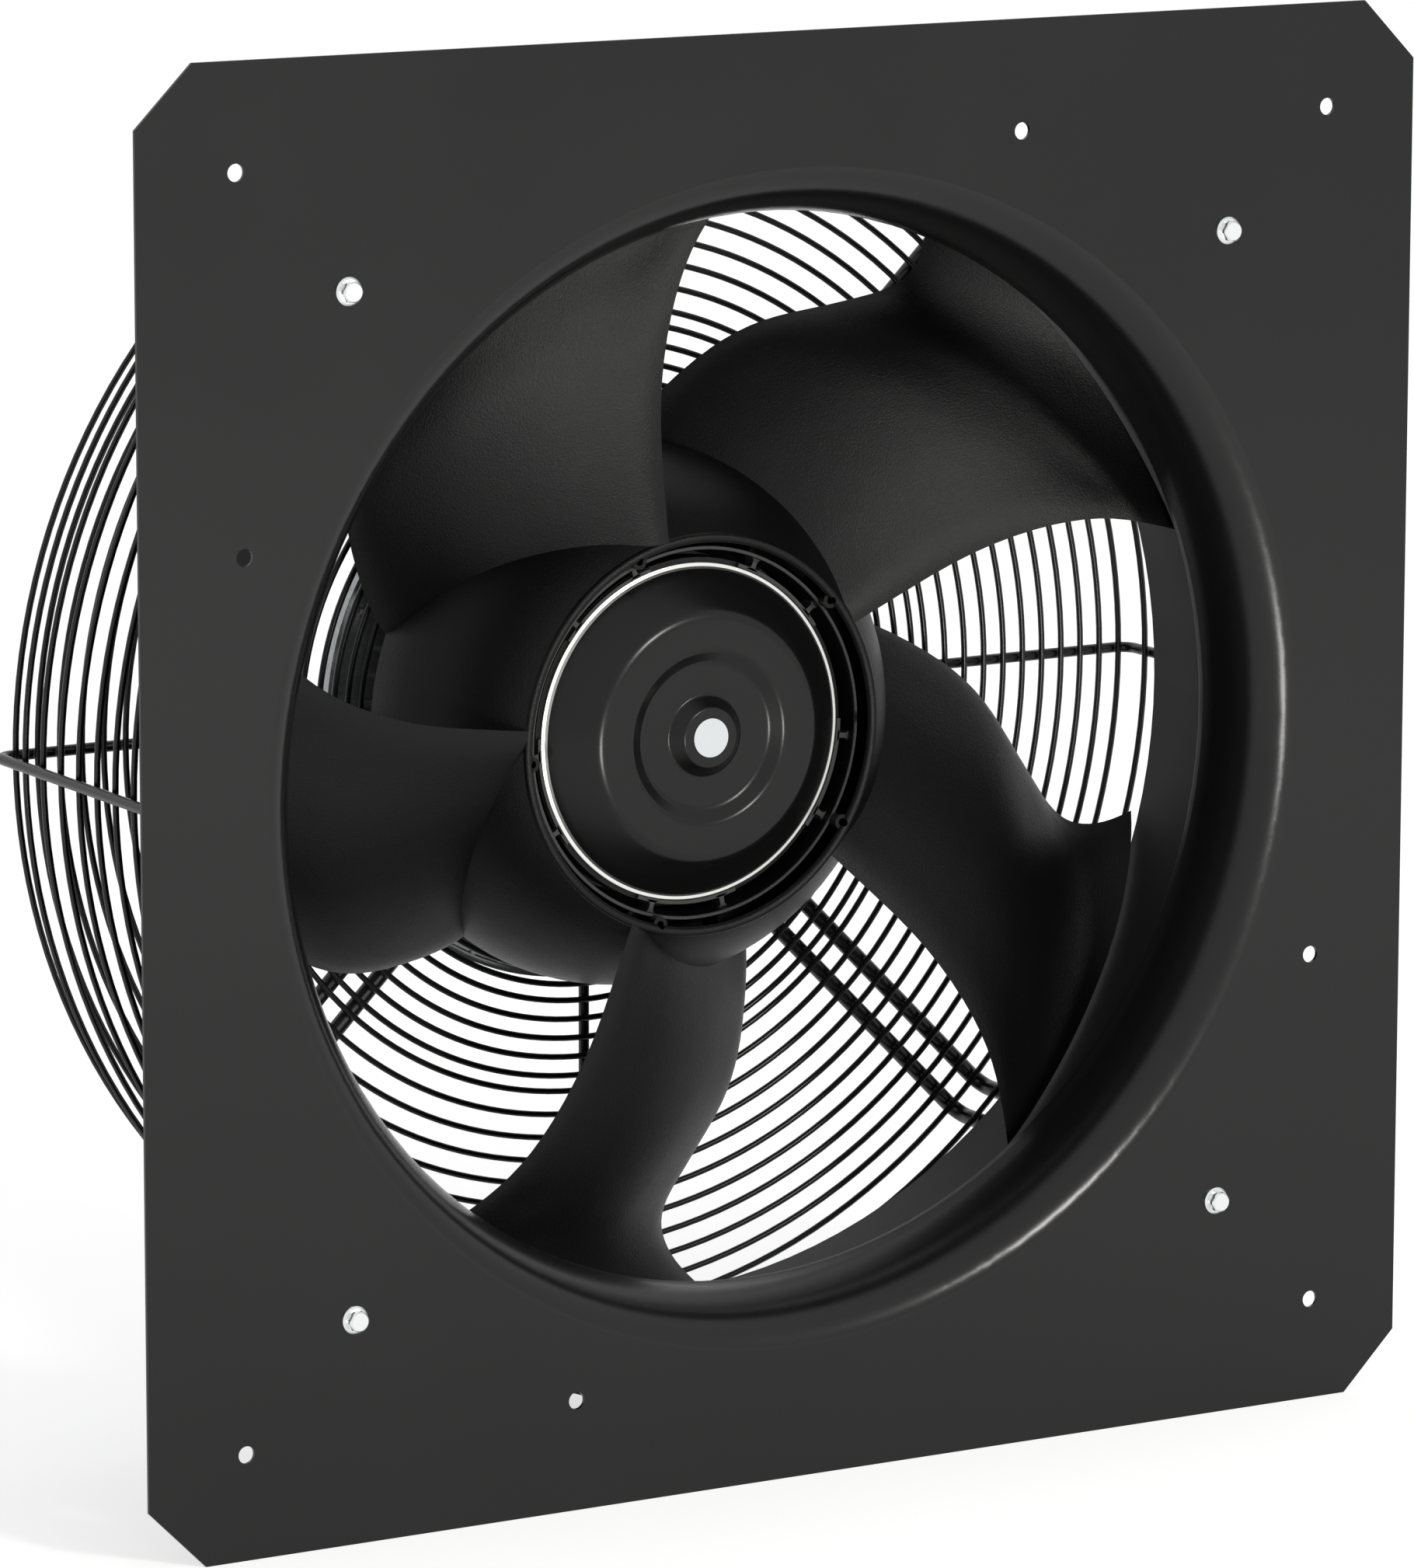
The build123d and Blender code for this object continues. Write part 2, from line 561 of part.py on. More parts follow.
def stator_core():
    """Laminated core with its teeth pointing outwards at the magnets."""
    tube = BEARING_OUTER_RADIUS + TUBE_WALL
    outer = ROTOR_RADIUS - ROTOR_WALL - MAGNET_THICKNESS - STATOR_AIR_GAP
    core = ring(tube, tube + YOKE_WALL, STATOR_FRONT, STATOR_BACK)
    head = make_face(Polyline(
        (outer - TOOTH_HEAD, STATOR_FRONT), (outer, STATOR_FRONT),
        (outer, STATOR_BACK), (outer - TOOTH_HEAD, STATOR_BACK), close=True
    ))
    head_angle = 360.0 / SLOT_COUNT - math.degrees(TOOTH_HEAD_GAP / outer)
    tooth_root = tube + YOKE_WALL / 2
    tooth_length = outer - TOOTH_HEAD / 2 - tooth_root
    tooth = Pos(tooth_root + tooth_length / 2, (STATOR_FRONT + STATOR_BACK) / 2, 0) * Box(
        tooth_length, STATOR_BACK - STATOR_FRONT, TOOTH_WIDTH
    )
    tooth += turned(revolve(head, Axis.Y, head_angle), head_angle / 2)
    for copy in around(tooth, SLOT_COUNT):
        core += copy
    return core


def stator_insulators():
    """Moulded end plates between the core and the windings."""
    tube = BEARING_OUTER_RADIUS + TUBE_WALL
    outer = ROTOR_RADIUS - ROTOR_WALL - MAGNET_THICKNESS - STATOR_AIR_GAP - TOOTH_HEAD
    plate = ring(tube + SEAT_CLEARANCE, tube + YOKE_WALL, STATOR_BACK, STATOR_BACK + INSULATOR_THICKNESS)
    arm_root = tube + YOKE_WALL / 2
    arm = Pos((arm_root + outer) / 2, STATOR_BACK + INSULATOR_THICKNESS / 2, 0) * Box(
        outer - arm_root, INSULATOR_THICKNESS, TOOTH_WIDTH
    )
    for copy in around(arm, SLOT_COUNT):
        plate += copy
    shift = STATOR_FRONT - STATOR_BACK - INSULATOR_THICKNESS
    return [plate, Pos(0, shift, 0) * plate]


def stator_windings():
    """One coil round each tooth."""
    tube = BEARING_OUTER_RADIUS + TUBE_WALL
    inner = tube + YOKE_WALL + COIL_CLEARANCE
    head = ROTOR_RADIUS - ROTOR_WALL - MAGNET_THICKNESS - STATOR_AIR_GAP - TOOTH_HEAD - COIL_CLEARANCE
    outer = math.sqrt(head**2 - (TOOTH_WIDTH / 2 + COIL_CLEARANCE + COIL_WALL) ** 2)
    middle = (STATOR_FRONT + STATOR_BACK) / 2
    hole_depth = STATOR_BACK - STATOR_FRONT + 2 * (INSULATOR_THICKNESS + COIL_CLEARANCE)
    hole_width = TOOTH_WIDTH + 2 * COIL_CLEARANCE
    place = Pos((inner + outer) / 2, middle, 0)
    coil_depth = hole_depth + 2 * (COIL_OVERHANG - INSULATOR_THICKNESS)
    coil = place * Box(outer - inner, coil_depth, hole_width + 2 * COIL_WALL)
    coil = fillet(coil.edges().filter_by(Axis.X), COIL_WALL * 0.8)
    coil -= place * Box(2 * outer, hole_depth, hole_width)
    wide = 4 * outer
    wedge = make_face(Polyline((0, 0), (wide, 0), (wide, 4 * HOUSING_BACK), (0, 4 * HOUSING_BACK), close=True))
    share = 360.0 / SLOT_COUNT - 2 * math.degrees(COIL_CLEARANCE / inner)
    sector = turned(revolve(wedge, Axis.Y, share), share / 2)
    return around(coil & sector, SLOT_COUNT)


def mounting_ring():
    """Steel ring that the rods carry and the motor is screwed to."""
    front = GUARD_FACE_DEPTH + RING_WIRE / 2 + ROD_WIRE + 2 * WELD_GAP
    body = ring(RING_INNER_RADIUS, RING_OUTER_RADIUS, front, front + RING_THICKNESS)
    hole = pin(MOTOR_SCREW_RADIUS + BOLT_CLEARANCE, front - 1, front + RING_THICKNESS + 1,
               (MOTOR_SCREW_PITCH_RADIUS, 0.0, 0.0))
    for copy in around(hole, MOTOR_SCREW_COUNT):
        body -= copy
    return body


def motor_screws():
    """Cap screws through the mounting ring into the housing."""
    seat = GUARD_FACE_DEPTH + RING_WIRE / 2 + ROD_WIRE + 2 * WELD_GAP
    place = (MOTOR_SCREW_PITCH_RADIUS, 0.0, 0.0)
    head_height = 2 * MOTOR_SCREW_RADIUS
    screw = pin(MOTOR_SCREW_RADIUS, seat, seat + MOTOR_SCREW_LENGTH, place)
    head = pin(1.7 * MOTOR_SCREW_RADIUS, seat - head_height, seat, place)
    socket = hexagon_bar(1.6 * MOTOR_SCREW_RADIUS, seat - head_height - 1, seat - head_height / 2, place)
    return around(screw + head - socket, MOTOR_SCREW_COUNT)


def electronics_housing():
    """Round die-cast box behind the mounting ring, with radial fins round its front."""
    inner = HOUSING_RADIUS - HOUSING_WALL
    body = ring(0, HOUSING_RADIUS, HOUSING_FRONT, HOUSING_BACK)
    body -= ring(0, inner, HOUSING_FRONT + HOUSING_WALL, HOUSING_BACK + 1)
    rim = COOLING_RIM_RADIUS
    body += ring(inner, rim, HOUSING_FRONT, HOUSING_FRONT + COOLING_RIM_DEPTH)
    body += ring(rim - COOLING_RIM_WALL, rim, FIN_FRONT, HOUSING_FRONT)
    fin_length = rim - COOLING_RIM_WALL / 2 - HOUSING_RADIUS
    fin = Pos(HOUSING_RADIUS + fin_length / 2, (FIN_FRONT + HOUSING_FRONT) / 2 + FIN_THICKNESS / 4, 0) * Box(
        fin_length, HOUSING_FRONT - FIN_FRONT - FIN_THICKNESS / 2, FIN_THICKNESS
    )
    for copy in around(fin, FIN_COUNT):
        body += copy
    screw_boss = pin(SCREW_BOSS_RADIUS, HOUSING_FRONT + HOUSING_WALL / 2, HOUSING_BACK,
                     (COVER_SCREW_PITCH_RADIUS, 0.0, 0.0))
    screw_hole = pin(COVER_SCREW_RADIUS, HOUSING_BACK - 12, HOUSING_BACK + 1, (COVER_SCREW_PITCH_RADIUS, 0.0, 0.0))
    for copy in around(screw_boss, COVER_SCREW_COUNT):
        body += copy
    for copy in around(screw_hole, COVER_SCREW_COUNT):
        body -= copy
    post = pin(POST_RADIUS, HOUSING_FRONT + HOUSING_WALL / 2, BOARD_DEPTH, (POST_PITCH_RADIUS, 0.0, 0.0))
    for copy in around(post, 4, 45.0):
        body += copy
    motor_hole = pin(MOTOR_SCREW_RADIUS, HOUSING_FRONT - 1, HOUSING_FRONT + 10, (MOTOR_SCREW_PITCH_RADIUS, 0.0, 0.0))
    motor_boss = pin(2 * MOTOR_SCREW_RADIUS, HOUSING_FRONT, HOUSING_FRONT + 11, (MOTOR_SCREW_PITCH_RADIUS, 0.0, 0.0))
    for copy in around(motor_boss, MOTOR_SCREW_COUNT):
        body += copy
    for copy in around(motor_hole, MOTOR_SCREW_COUNT):
        body -= copy
    body -= gland_drill()
    return body


def gland_drill():
    """The hole for the cable gland, in the side of the housing wall."""
    drill = Cylinder(GLAND_THREAD_RADIUS, 4 * HOUSING_WALL)
    return turned(Pos(0, GLAND_DEPTH, -HOUSING_RADIUS) * drill, GLAND_ANGLE)


def circuit_board():
    """Motor electronics board on its posts, with its tallest parts."""
    board = ring(16, BOARD_RADIUS, BOARD_DEPTH, BOARD_DEPTH + BOARD_THICKNESS)
    top = BOARD_DEPTH + BOARD_THICKNESS
    for angle in (60.0, 120.0, 180.0):
        board += pin(7, top, top + BOARD_PART_HEIGHT, tuple(polar(50, angle)))
    board += Pos(0, top + BOARD_PART_HEIGHT / 2, -40) * Box(24, BOARD_PART_HEIGHT, 18)
    return board


def cover_gasket():
    """Flat seal between the housing and its cover."""
    inner = HOUSING_RADIUS - HOUSING_WALL - SCREW_BOSS_RADIUS
    body = ring(inner, HOUSING_RADIUS, HOUSING_BACK, HOUSING_BACK + GASKET_THICKNESS)
    hole = pin(COVER_SCREW_RADIUS + BOLT_CLEARANCE, HOUSING_BACK - 1, HOUSING_BACK + GASKET_THICKNESS + 1,
               (COVER_SCREW_PITCH_RADIUS, 0.0, 0.0))
    for copy in around(hole, COVER_SCREW_COUNT):
        body -= copy
    return body


def electronics_cover():
    """Rear cover with a shallow dome and a stiffening rim."""
    front = HOUSING_BACK + GASKET_THICKNESS
    body = ring(0, HOUSING_RADIUS, front, front + COVER_THICKNESS)
    body = chamfer(body.edges().filter_by(GeomType.CIRCLE).sort_by(Axis.Y)[-1], 2.0)
    body += ring(0, HOUSING_RADIUS - 18, front, front + 1.6 * COVER_THICKNESS)
    hole = pin(COVER_SCREW_RADIUS + BOLT_CLEARANCE, front - 1, front + COVER_THICKNESS + 1,
               (COVER_SCREW_PITCH_RADIUS, 0.0, 0.0))
    for copy in around(hole, COVER_SCREW_COUNT):
        body -= copy
    return body


def cover_screws():
    """Pan-head screws of the rear cover."""
    seat = HOUSING_BACK + GASKET_THICKNESS + COVER_THICKNESS
    place = (COVER_SCREW_PITCH_RADIUS, 0.0, 0.0)
    screw = pin(COVER_SCREW_RADIUS, HOUSING_BACK - 8, seat, place)
    screw += pin(1.9 * COVER_SCREW_RADIUS, seat, seat + 1.4 * COVER_SCREW_RADIUS, place)
    return around(screw, COVER_SCREW_COUNT)


def gland_profile(top, bottom, outer_radius):
    """A round bored piece of the gland, drawn below the housing before it is turned to its side."""
    body = Cylinder(outer_radius, top - bottom) - Cylinder(GLAND_BORE_RADIUS, top - bottom + 2)
    return Pos(0, GLAND_DEPTH, (top + bottom) / 2) * body


def gland_hexagon(top, bottom):
    """A hexagonal bored piece of the gland, drawn below the housing before it is turned."""
    sketch = RegularPolygon(GLAND_HEX / 2, 6, major_radius=False) - Circle(GLAND_THREAD_RADIUS)
    return Pos(0, GLAND_DEPTH, bottom) * extrude(sketch, top - bottom)


def gland_body():
    """Screwed-in body of the cable gland."""
    seat = -HOUSING_RADIUS
    body = gland_profile(seat + 2 * HOUSING_WALL, seat - GLAND_COLLAR - GLAND_BODY_LENGTH, GLAND_THREAD_RADIUS)
    body -= gland_profile(seat - GLAND_COLLAR, seat - GLAND_COLLAR - GLAND_BODY_LENGTH - 1, GLAND_BORE_RADIUS + 2)
    return turned(body + gland_hexagon(seat, seat - GLAND_COLLAR), GLAND_ANGLE)


def gland_nut():
    """Domed clamping nut of the cable gland."""
    top = -HOUSING_RADIUS - GLAND_COLLAR - 1.0
    bottom = top - GLAND_NUT_LENGTH
    nut = gland_hexagon(top, bottom + GLAND_COLLAR)
    nut += gland_profile(bottom + GLAND_COLLAR, bottom, GLAND_THREAD_RADIUS + 0.5)
    return turned(nut, GLAND_ANGLE)


def gland_seal():
    """Rubber sleeve that grips the cable inside the gland."""
    top = -HOUSING_RADIUS - GLAND_COLLAR
    return turned(gland_profile(top, top - GLAND_BODY_LENGTH, GLAND_BORE_RADIUS + 2), GLAND_ANGLE)


def guard_rings(first_radius, pitch, count):
    """Flat rings of the guard's rear face."""
    return [guard_ring(first_radius + pitch * i, GUARD_FACE_DEPTH) for i in range(count)]


def guard_side_rings():
    """Rings of the guard's cylindrical side."""
    depths = [SIDE_RING_FIRST_DEPTH + SIDE_RING_PITCH * i for i in range(SIDE_RING_COUNT)]
    return [guard_ring(SIDE_RING_RADIUS, depth) for depth in depths]


def guard_strut_wires():
    """Four wires across the rear face and forward along the side."""
    depth = GUARD_FACE_DEPTH + (RING_WIRE + STRUT_WIRE) / 2 + WELD_GAP
    side = SIDE_RING_RADIUS + (RING_WIRE + STRUT_WIRE) / 2 + WELD_GAP
    wire = bent_wire([(STRUT_INNER_RADIUS, depth, 0), (side, depth, 0), (side, STRUT_END_DEPTH, 0)],
                     STRUT_BEND_RADIUS, STRUT_WIRE)
    return around(wire, 4)


def motor_support_rods():
    """Eight rods in pairs on the diagonals, from the mounting ring to the feet."""
    depth = GUARD_FACE_DEPTH + (RING_WIRE + ROD_WIRE) / 2 + WELD_GAP
    side = SIDE_RING_RADIUS + (RING_WIRE + ROD_WIRE) / 2 + WELD_GAP
    rods = []
    for across in (-ROD_SPACING / 2, ROD_SPACING / 2):
        corners = [(ROD_INNER_RADIUS, depth, across), (side, depth, across), (side, SHEET + FOOT_THICKNESS, across)]
        rod = bent_wire(corners, ROD_BEND_RADIUS, ROD_WIRE)
        rods += around(rod, 4, 45.0)
    return rods


def support_feet():
    """Drilled feet that the rods stand on, behind the plate."""
    bolt_radius = GUARD_BOLT_PITCH / math.sqrt(2)
    side = SIDE_RING_RADIUS + (RING_WIRE + ROD_WIRE) / 2 + WELD_GAP
    inner = side - ROD_WIRE
    outer = bolt_radius + FOOT_OVERHANG
    foot = Pos((inner + outer) / 2, SHEET + FOOT_THICKNESS / 2, 0) * Box(outer - inner, FOOT_THICKNESS, FOOT_WIDTH)
    foot = fillet(foot.edges().filter_by(Axis.Y), 5.0)
    foot -= pin(BOLT_RADIUS + BOLT_CLEARANCE, 0, 3 * FOOT_THICKNESS, (bolt_radius, 0.0, 0.0))
    return around(foot, 4, 45.0)


def guard_bolts():
    """Flange-head bolts seen on the front of the plate."""
    bolts = []
    for place in corner_places(GUARD_BOLT_PITCH):
        flange = pin(BOLT_FLANGE_RADIUS, -BOLT_FLANGE_THICKNESS, 0, place)
        flange = chamfer(flange.edges().sort_by(Axis.Y)[0], BOLT_FLANGE_THICKNESS * 0.6)
        head = hexagon_bar(BOLT_HEX, -BOLT_HEAD_HEIGHT, -BOLT_FLANGE_THICKNESS, place)
        round_off = pin(0.54 * BOLT_HEX, -BOLT_HEAD_HEIGHT, 0, place)
        round_off = chamfer(round_off.edges().sort_by(Axis.Y)[0], 0.8)
        bolts.append(flange + (head & round_off) + pin(BOLT_RADIUS, 0, BOLT_LENGTH, place))
    return bolts


def guard_nuts():
    """Flange nuts behind the feet."""
    nuts = []
    seat = SHEET + FOOT_THICKNESS
    for place in corner_places(GUARD_BOLT_PITCH):
        nut = hexagon_bar(BOLT_HEX, seat, seat + NUT_HEIGHT, place)
        nut += pin(BOLT_FLANGE_RADIUS, seat, seat + BOLT_FLANGE_THICKNESS, place)
        nuts.append(nut - pin(BOLT_RADIUS, seat - 1, seat + NUT_HEIGHT + 1, place))
    return nuts


def save(name, shape):
    """Write one named piece, or one group of like pieces, to its own file."""
    solids = [solid for item in (shape if isinstance(shape, list) else [shape]) for solid in item.solids()]
    export_step(solids[0] if len(solids) == 1 else Compound(children=solids), f"parts/{name}.step")


def main():
    os.makedirs("parts", exist_ok=True)
    pieces = {
        "wall_plate": wall_plate(),
        "impeller": impeller(),
        "rotor_shell": rotor_shell(),
        "rotor_magnets": rotor_magnets(),
        "shaft": shaft(),
        "retaining_ring": retaining_ring(),
        "front_bearing_outer_ring": bearing_outer_ring(FRONT_BEARING_DEPTH),
        "front_bearing_inner_ring": bearing_inner_ring(FRONT_BEARING_DEPTH),
        "front_bearing_cage": bearing_cage(FRONT_BEARING_DEPTH),
        "rear_bearing_outer_ring": bearing_outer_ring(REAR_BEARING_DEPTH),
        "rear_bearing_inner_ring": bearing_inner_ring(REAR_BEARING_DEPTH),
        "rear_bearing_cage": bearing_cage(REAR_BEARING_DEPTH),
        "preload_wave_washer": wave_washer(),
        "motor_flange": motor_flange(),
        "stator_core": stator_core(),
        "stator_insulators": stator_insulators(),
        "stator_windings": stator_windings(),
        "motor_mounting_ring": mounting_ring(),
        "motor_screws": motor_screws(),
        "electronics_housing": electronics_housing(),
        "circuit_board": circuit_board(),
        "cover_gasket": cover_gasket(),
        "electronics_cover": electronics_cover(),
        "cover_screws": cover_screws(),
        "cable_gland_body": gland_body(),
        "cable_gland_nut": gland_nut(),
        "cable_gland_seal": gland_seal(),
        "guard_outer_rings": guard_rings(OUTER_RING_FIRST_RADIUS, OUTER_RING_PITCH, OUTER_RING_COUNT),
        "guard_middle_rings": guard_rings(MIDDLE_RING_FIRST_RADIUS, MIDDLE_RING_PITCH, MIDDLE_RING_COUNT),
        "guard_inner_rings": guard_rings(INNER_RING_FIRST_RADIUS, INNER_RING_PITCH, INNER_RING_COUNT),
        "guard_side_rings": guard_side_rings(),
        "guard_strut_wires": guard_strut_wires(),
        "motor_support_rods": motor_support_rods(),
        "support_feet": support_feet(),
        "guard_bolts": guard_bolts(),
        "guard_nuts": guard_nuts(),
    }
    for name, shape in pieces.items():
        save(name, shape)


main()
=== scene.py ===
import math

import bmesh
import bpy
import numpy as np
from bpy.props import FloatProperty, FloatVectorProperty, IntProperty, PointerProperty
from mathutils import Matrix, Vector


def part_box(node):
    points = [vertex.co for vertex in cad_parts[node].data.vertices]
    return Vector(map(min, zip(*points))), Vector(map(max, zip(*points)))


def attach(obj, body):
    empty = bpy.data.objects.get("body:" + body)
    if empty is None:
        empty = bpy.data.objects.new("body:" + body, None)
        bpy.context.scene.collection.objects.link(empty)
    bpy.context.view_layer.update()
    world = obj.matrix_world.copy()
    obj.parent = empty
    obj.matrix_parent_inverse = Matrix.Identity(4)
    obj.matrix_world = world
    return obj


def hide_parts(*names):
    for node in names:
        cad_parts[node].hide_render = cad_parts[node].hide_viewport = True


bl_info = {
    "name": "Axial wall fan",
    "version": (1, 0, 0),
    "blender": (4, 5, 0),
    "location": "3D View > Sidebar > Wall Fan",
    "description": "Dresses a wall fan's parts in their finishes and sets them on a plain stage",
    "category": "Object",
}

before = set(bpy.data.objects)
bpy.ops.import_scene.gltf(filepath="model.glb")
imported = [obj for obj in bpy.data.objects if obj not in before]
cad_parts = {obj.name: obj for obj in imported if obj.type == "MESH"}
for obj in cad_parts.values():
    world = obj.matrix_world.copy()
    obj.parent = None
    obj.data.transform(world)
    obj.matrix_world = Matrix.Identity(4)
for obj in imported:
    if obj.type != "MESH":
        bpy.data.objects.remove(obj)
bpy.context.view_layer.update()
PLATE_LOW, PLATE_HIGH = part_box("wall_plate")

# Places taken over from the part's source, in metres
INNER_RINGS = 0.1070 + 0.0063 * np.arange(3)
MIDDLE_RINGS = 0.1265 + 0.0080 * np.arange(5)
OUTER_RINGS = 0.1651 + 0.0098 * np.arange(11)
FLAT_RINGS = np.concatenate([INNER_RINGS, MIDDLE_RINGS, OUTER_RINGS])
FLAT_RING_DEPTH = 0.1708
SIDE_RING_RADIUS = 0.2664
SIDE_RING_DEPTHS = 0.027 + 0.016 * np.arange(9)
RING_WIRE = 0.0026
RING_STEPS = 160
WIRE_SIDES = 10
ROD_OFFSET = 0.008
BOLT_HALF_PITCH = 0.202
BOLT_RADIUS = 0.0025
BOLT_END = 0.014
THREAD_START = 0.0093
THREAD_PITCH = 0.0008
THREAD_DEPTH = 0.00022
BLADE_COUNT = 5
RIB_ANGLES = (39.3, 65.8)
RIB_INNER = 0.0703
RIB_OUTER = 0.0758
RIB_FRONT = 0.0860
RIB_BACK = 0.0930
RIB_HALF = 0.0010
RIB_FLARE = 0.0022
LIP_ANGLES = (33.5, 71.5)
LIP_INNER = 0.0697
LIP_OUTER = 0.0712
LIP_BACK = 0.0890
RING_LIP_RADII = (0.0756, 0.0767)
RING_LIP_DEPTHS = (0.0818, 0.0830)

# The rotor's turned outline in millimetres: radius, depth and how far each corner is rounded
ROTOR_OUTLINE = np.array([
    (8.0, 69.9, 0.3), (12.2, 69.9, 0.6), (16.8, 75.0, 0.8), (29.9, 75.0, 1.4), (35.7, 71.3, 1.4), (50.3, 71.3, 2.6),
    (59.3, 78.9, 6.0), (68.0, 86.6, 0.15), (69.6, 86.6, 0.5), (69.6, 168.0, 0.3), (66.2, 168.0, 0.2), (66.2, 93.4, 1.0),
    (51.3, 78.4, 2.0), (13.0, 78.4, 0.3), (13.0, 93.0, 0.3), (8.0, 93.0, 0.3),
])
ROTOR_STEPS = 180
CORNER_STEPS = 7
BARE_FROM = 0.0858

# The photograph's camera: an 1820 x 2018 picture, worked out from the plate's corners and holes
PICTURE_WIDTH = 1820
FOCAL_PIXELS = 10787.7
CENTRE_OFFSET_PIXELS = (8.5, 25.6)
CAMERA_PLACE = (-1.6964, -2.8113, 0.5980)
CAMERA_YAW = 0.53246
CAMERA_PITCH = 0.18012
CAMERA_ROLL = 0.00169

# How far the floor's white is lifted where it is looked at, so that only the shadow's core shows
FLOOR_LIFT = 0.55


def linear(hex_colour):
    """An sRGB hex colour as linear red, green, blue and alpha."""
    parts = [int(hex_colour[i : i + 2], 16) / 255 for i in (1, 3, 5)]
    return tuple(c / 12.92 if c <= 0.04045 else ((c + 0.055) / 1.055) ** 2.4 for c in parts) + (1.0,)


def add_node(tree, kind, inputs=None, **settings):
    """Add one node, set its own settings, and link or fill its inputs."""
    node = tree.nodes.new(kind)
    for key, value in settings.items():
        setattr(node, key, value)
    for key, value in (inputs or {}).items():
        if isinstance(value, bpy.types.NodeSocket):
            tree.links.new(value, node.inputs[key])
        else:
            node.inputs[key].default_value = value
    return node


def new_material(name):
    """An empty material with its output, ready for nodes."""
    material = bpy.data.materials.new(name)
    material.use_nodes = True
    material.node_tree.nodes.clear()
    return material, material.node_tree


def finish_material(tree, shader):
    add_node(tree, "ShaderNodeOutputMaterial", {"Surface": shader})


def powder_coat(name, colour, peel_mm, roughness, ior, matt_from=None):
    """Baked powder coat on steel: even colour, the orange peel that flowed powder leaves, and a thin, matt coat from a
    given depth on, where the spray gun reaches badly."""
    material, tree = new_material(name)
    place = add_node(tree, "ShaderNodeTexCoord").outputs["Object"]
    peel = add_node(tree, "ShaderNodeTexNoise", {"Vector": place, "Scale": 1000 / peel_mm, "Detail": 2.0})
    cloud = add_node(tree, "ShaderNodeTexNoise", {"Vector": place, "Scale": 9.0, "Detail": 3.0})
    tone = add_node(
        tree, "ShaderNodeMix", {"Factor": cloud.outputs["Fac"], "A": colour, "B": tuple(c * 1.12 for c in colour[:3]) + (1,)},
        data_type="RGBA",
    )
    gloss = add_node(
        tree, "ShaderNodeMapRange",
        {"Value": cloud.outputs["Fac"], "From Min": 0.3, "From Max": 0.7, "To Min": roughness - 0.03, "To Max": roughness + 0.03},
    )
    if matt_from is not None:
        depth = add_node(tree, "ShaderNodeSeparateXYZ", {"Vector": place})
        matt = add_node(
            tree, "ShaderNodeMapRange",
            {"Value": depth.outputs["Y"], "From Min": matt_from, "From Max": matt_from + 0.015, "To Max": 0.45},
        )
        gloss = add_node(tree, "ShaderNodeMath", {0: gloss.outputs["Result"], 1: matt.outputs["Result"]}, operation="ADD")
    bump = add_node(tree, "ShaderNodeBump", {"Height": peel.outputs["Fac"], "Strength": 0.12, "Distance": 0.00012})
    shader = add_node(
        tree, "ShaderNodeBsdfPrincipled",
        {"Base Color": tone.outputs["Result"], "Roughness": gloss.outputs[0], "Normal": bump.outputs["Normal"], "IOR": ior},
    )
    finish_material(tree, shader.outputs["BSDF"])
    return material


def moulded_nylon(name, colour, grain_mm, roughness, ior=1.5):
    """Glass-filled nylon from a spark-eroded mould: fine matte grain and a soft sheen."""
    material, tree = new_material(name)
    place = add_node(tree, "ShaderNodeTexCoord").outputs["Object"]
    grain = add_node(tree, "ShaderNodeTexNoise", {"Vector": place, "Scale": 1000 / grain_mm, "Detail": 3.0, "Roughness": 0.7})
    flow = add_node(tree, "ShaderNodeTexNoise", {"Vector": place, "Scale": 14.0, "Detail": 4.0, "Distortion": 1.2})
    tone = add_node(
        tree, "ShaderNodeMix", {"Factor": flow.outputs["Fac"], "A": colour, "B": tuple(c * 1.35 for c in colour[:3]) + (1,)},
        data_type="RGBA",
    )
    gloss = add_node(
        tree, "ShaderNodeMapRange",
        {"Value": grain.outputs["Fac"], "From Min": 0.3, "From Max": 0.7, "To Min": roughness - 0.05, "To Max": roughness + 0.05},
    )
    bump = add_node(tree, "ShaderNodeBump", {"Height": grain.outputs["Fac"], "Strength": 0.6, "Distance": 0.0003})
    shader = add_node(
        tree, "ShaderNodeBsdfPrincipled",
        {"Base Color": tone.outputs["Result"], "Roughness": gloss.outputs["Result"], "Normal": bump.outputs["Normal"], "IOR": ior},
    )
    finish_material(tree, shader.outputs["BSDF"])
    return material


def metal(name, colour, roughness, scratch_mm=0.4, depth=0.00004, stretch=(1.0, 1.0, 1.0)):
    """Bare metal: its colour in the reflection, broken up by fine working marks."""
    material, tree = new_material(name)
    place = add_node(tree, "ShaderNodeTexCoord").outputs["Object"]
    turned = add_node(tree, "ShaderNodeMapping", {"Vector": place, "Scale": stretch})
    marks = add_node(tree, "ShaderNodeTexNoise", {"Vector": turned.outputs["Vector"], "Scale": 1000 / scratch_mm, "Detail": 2.0})
    gloss = add_node(
        tree, "ShaderNodeMapRange",
        {"Value": marks.outputs["Fac"], "From Min": 0.3, "From Max": 0.7, "To Min": roughness * 0.8, "To Max": roughness * 1.2},
    )
    bump = add_node(tree, "ShaderNodeBump", {"Height": marks.outputs["Fac"], "Strength": 0.3, "Distance": depth})
    shader = add_node(
        tree, "ShaderNodeBsdfPrincipled",
        {"Base Color": colour, "Metallic": 1.0, "Roughness": gloss.outputs["Result"], "Normal": bump.outputs["Normal"]},
    )
    finish_material(tree, shader.outputs["BSDF"])
    return material


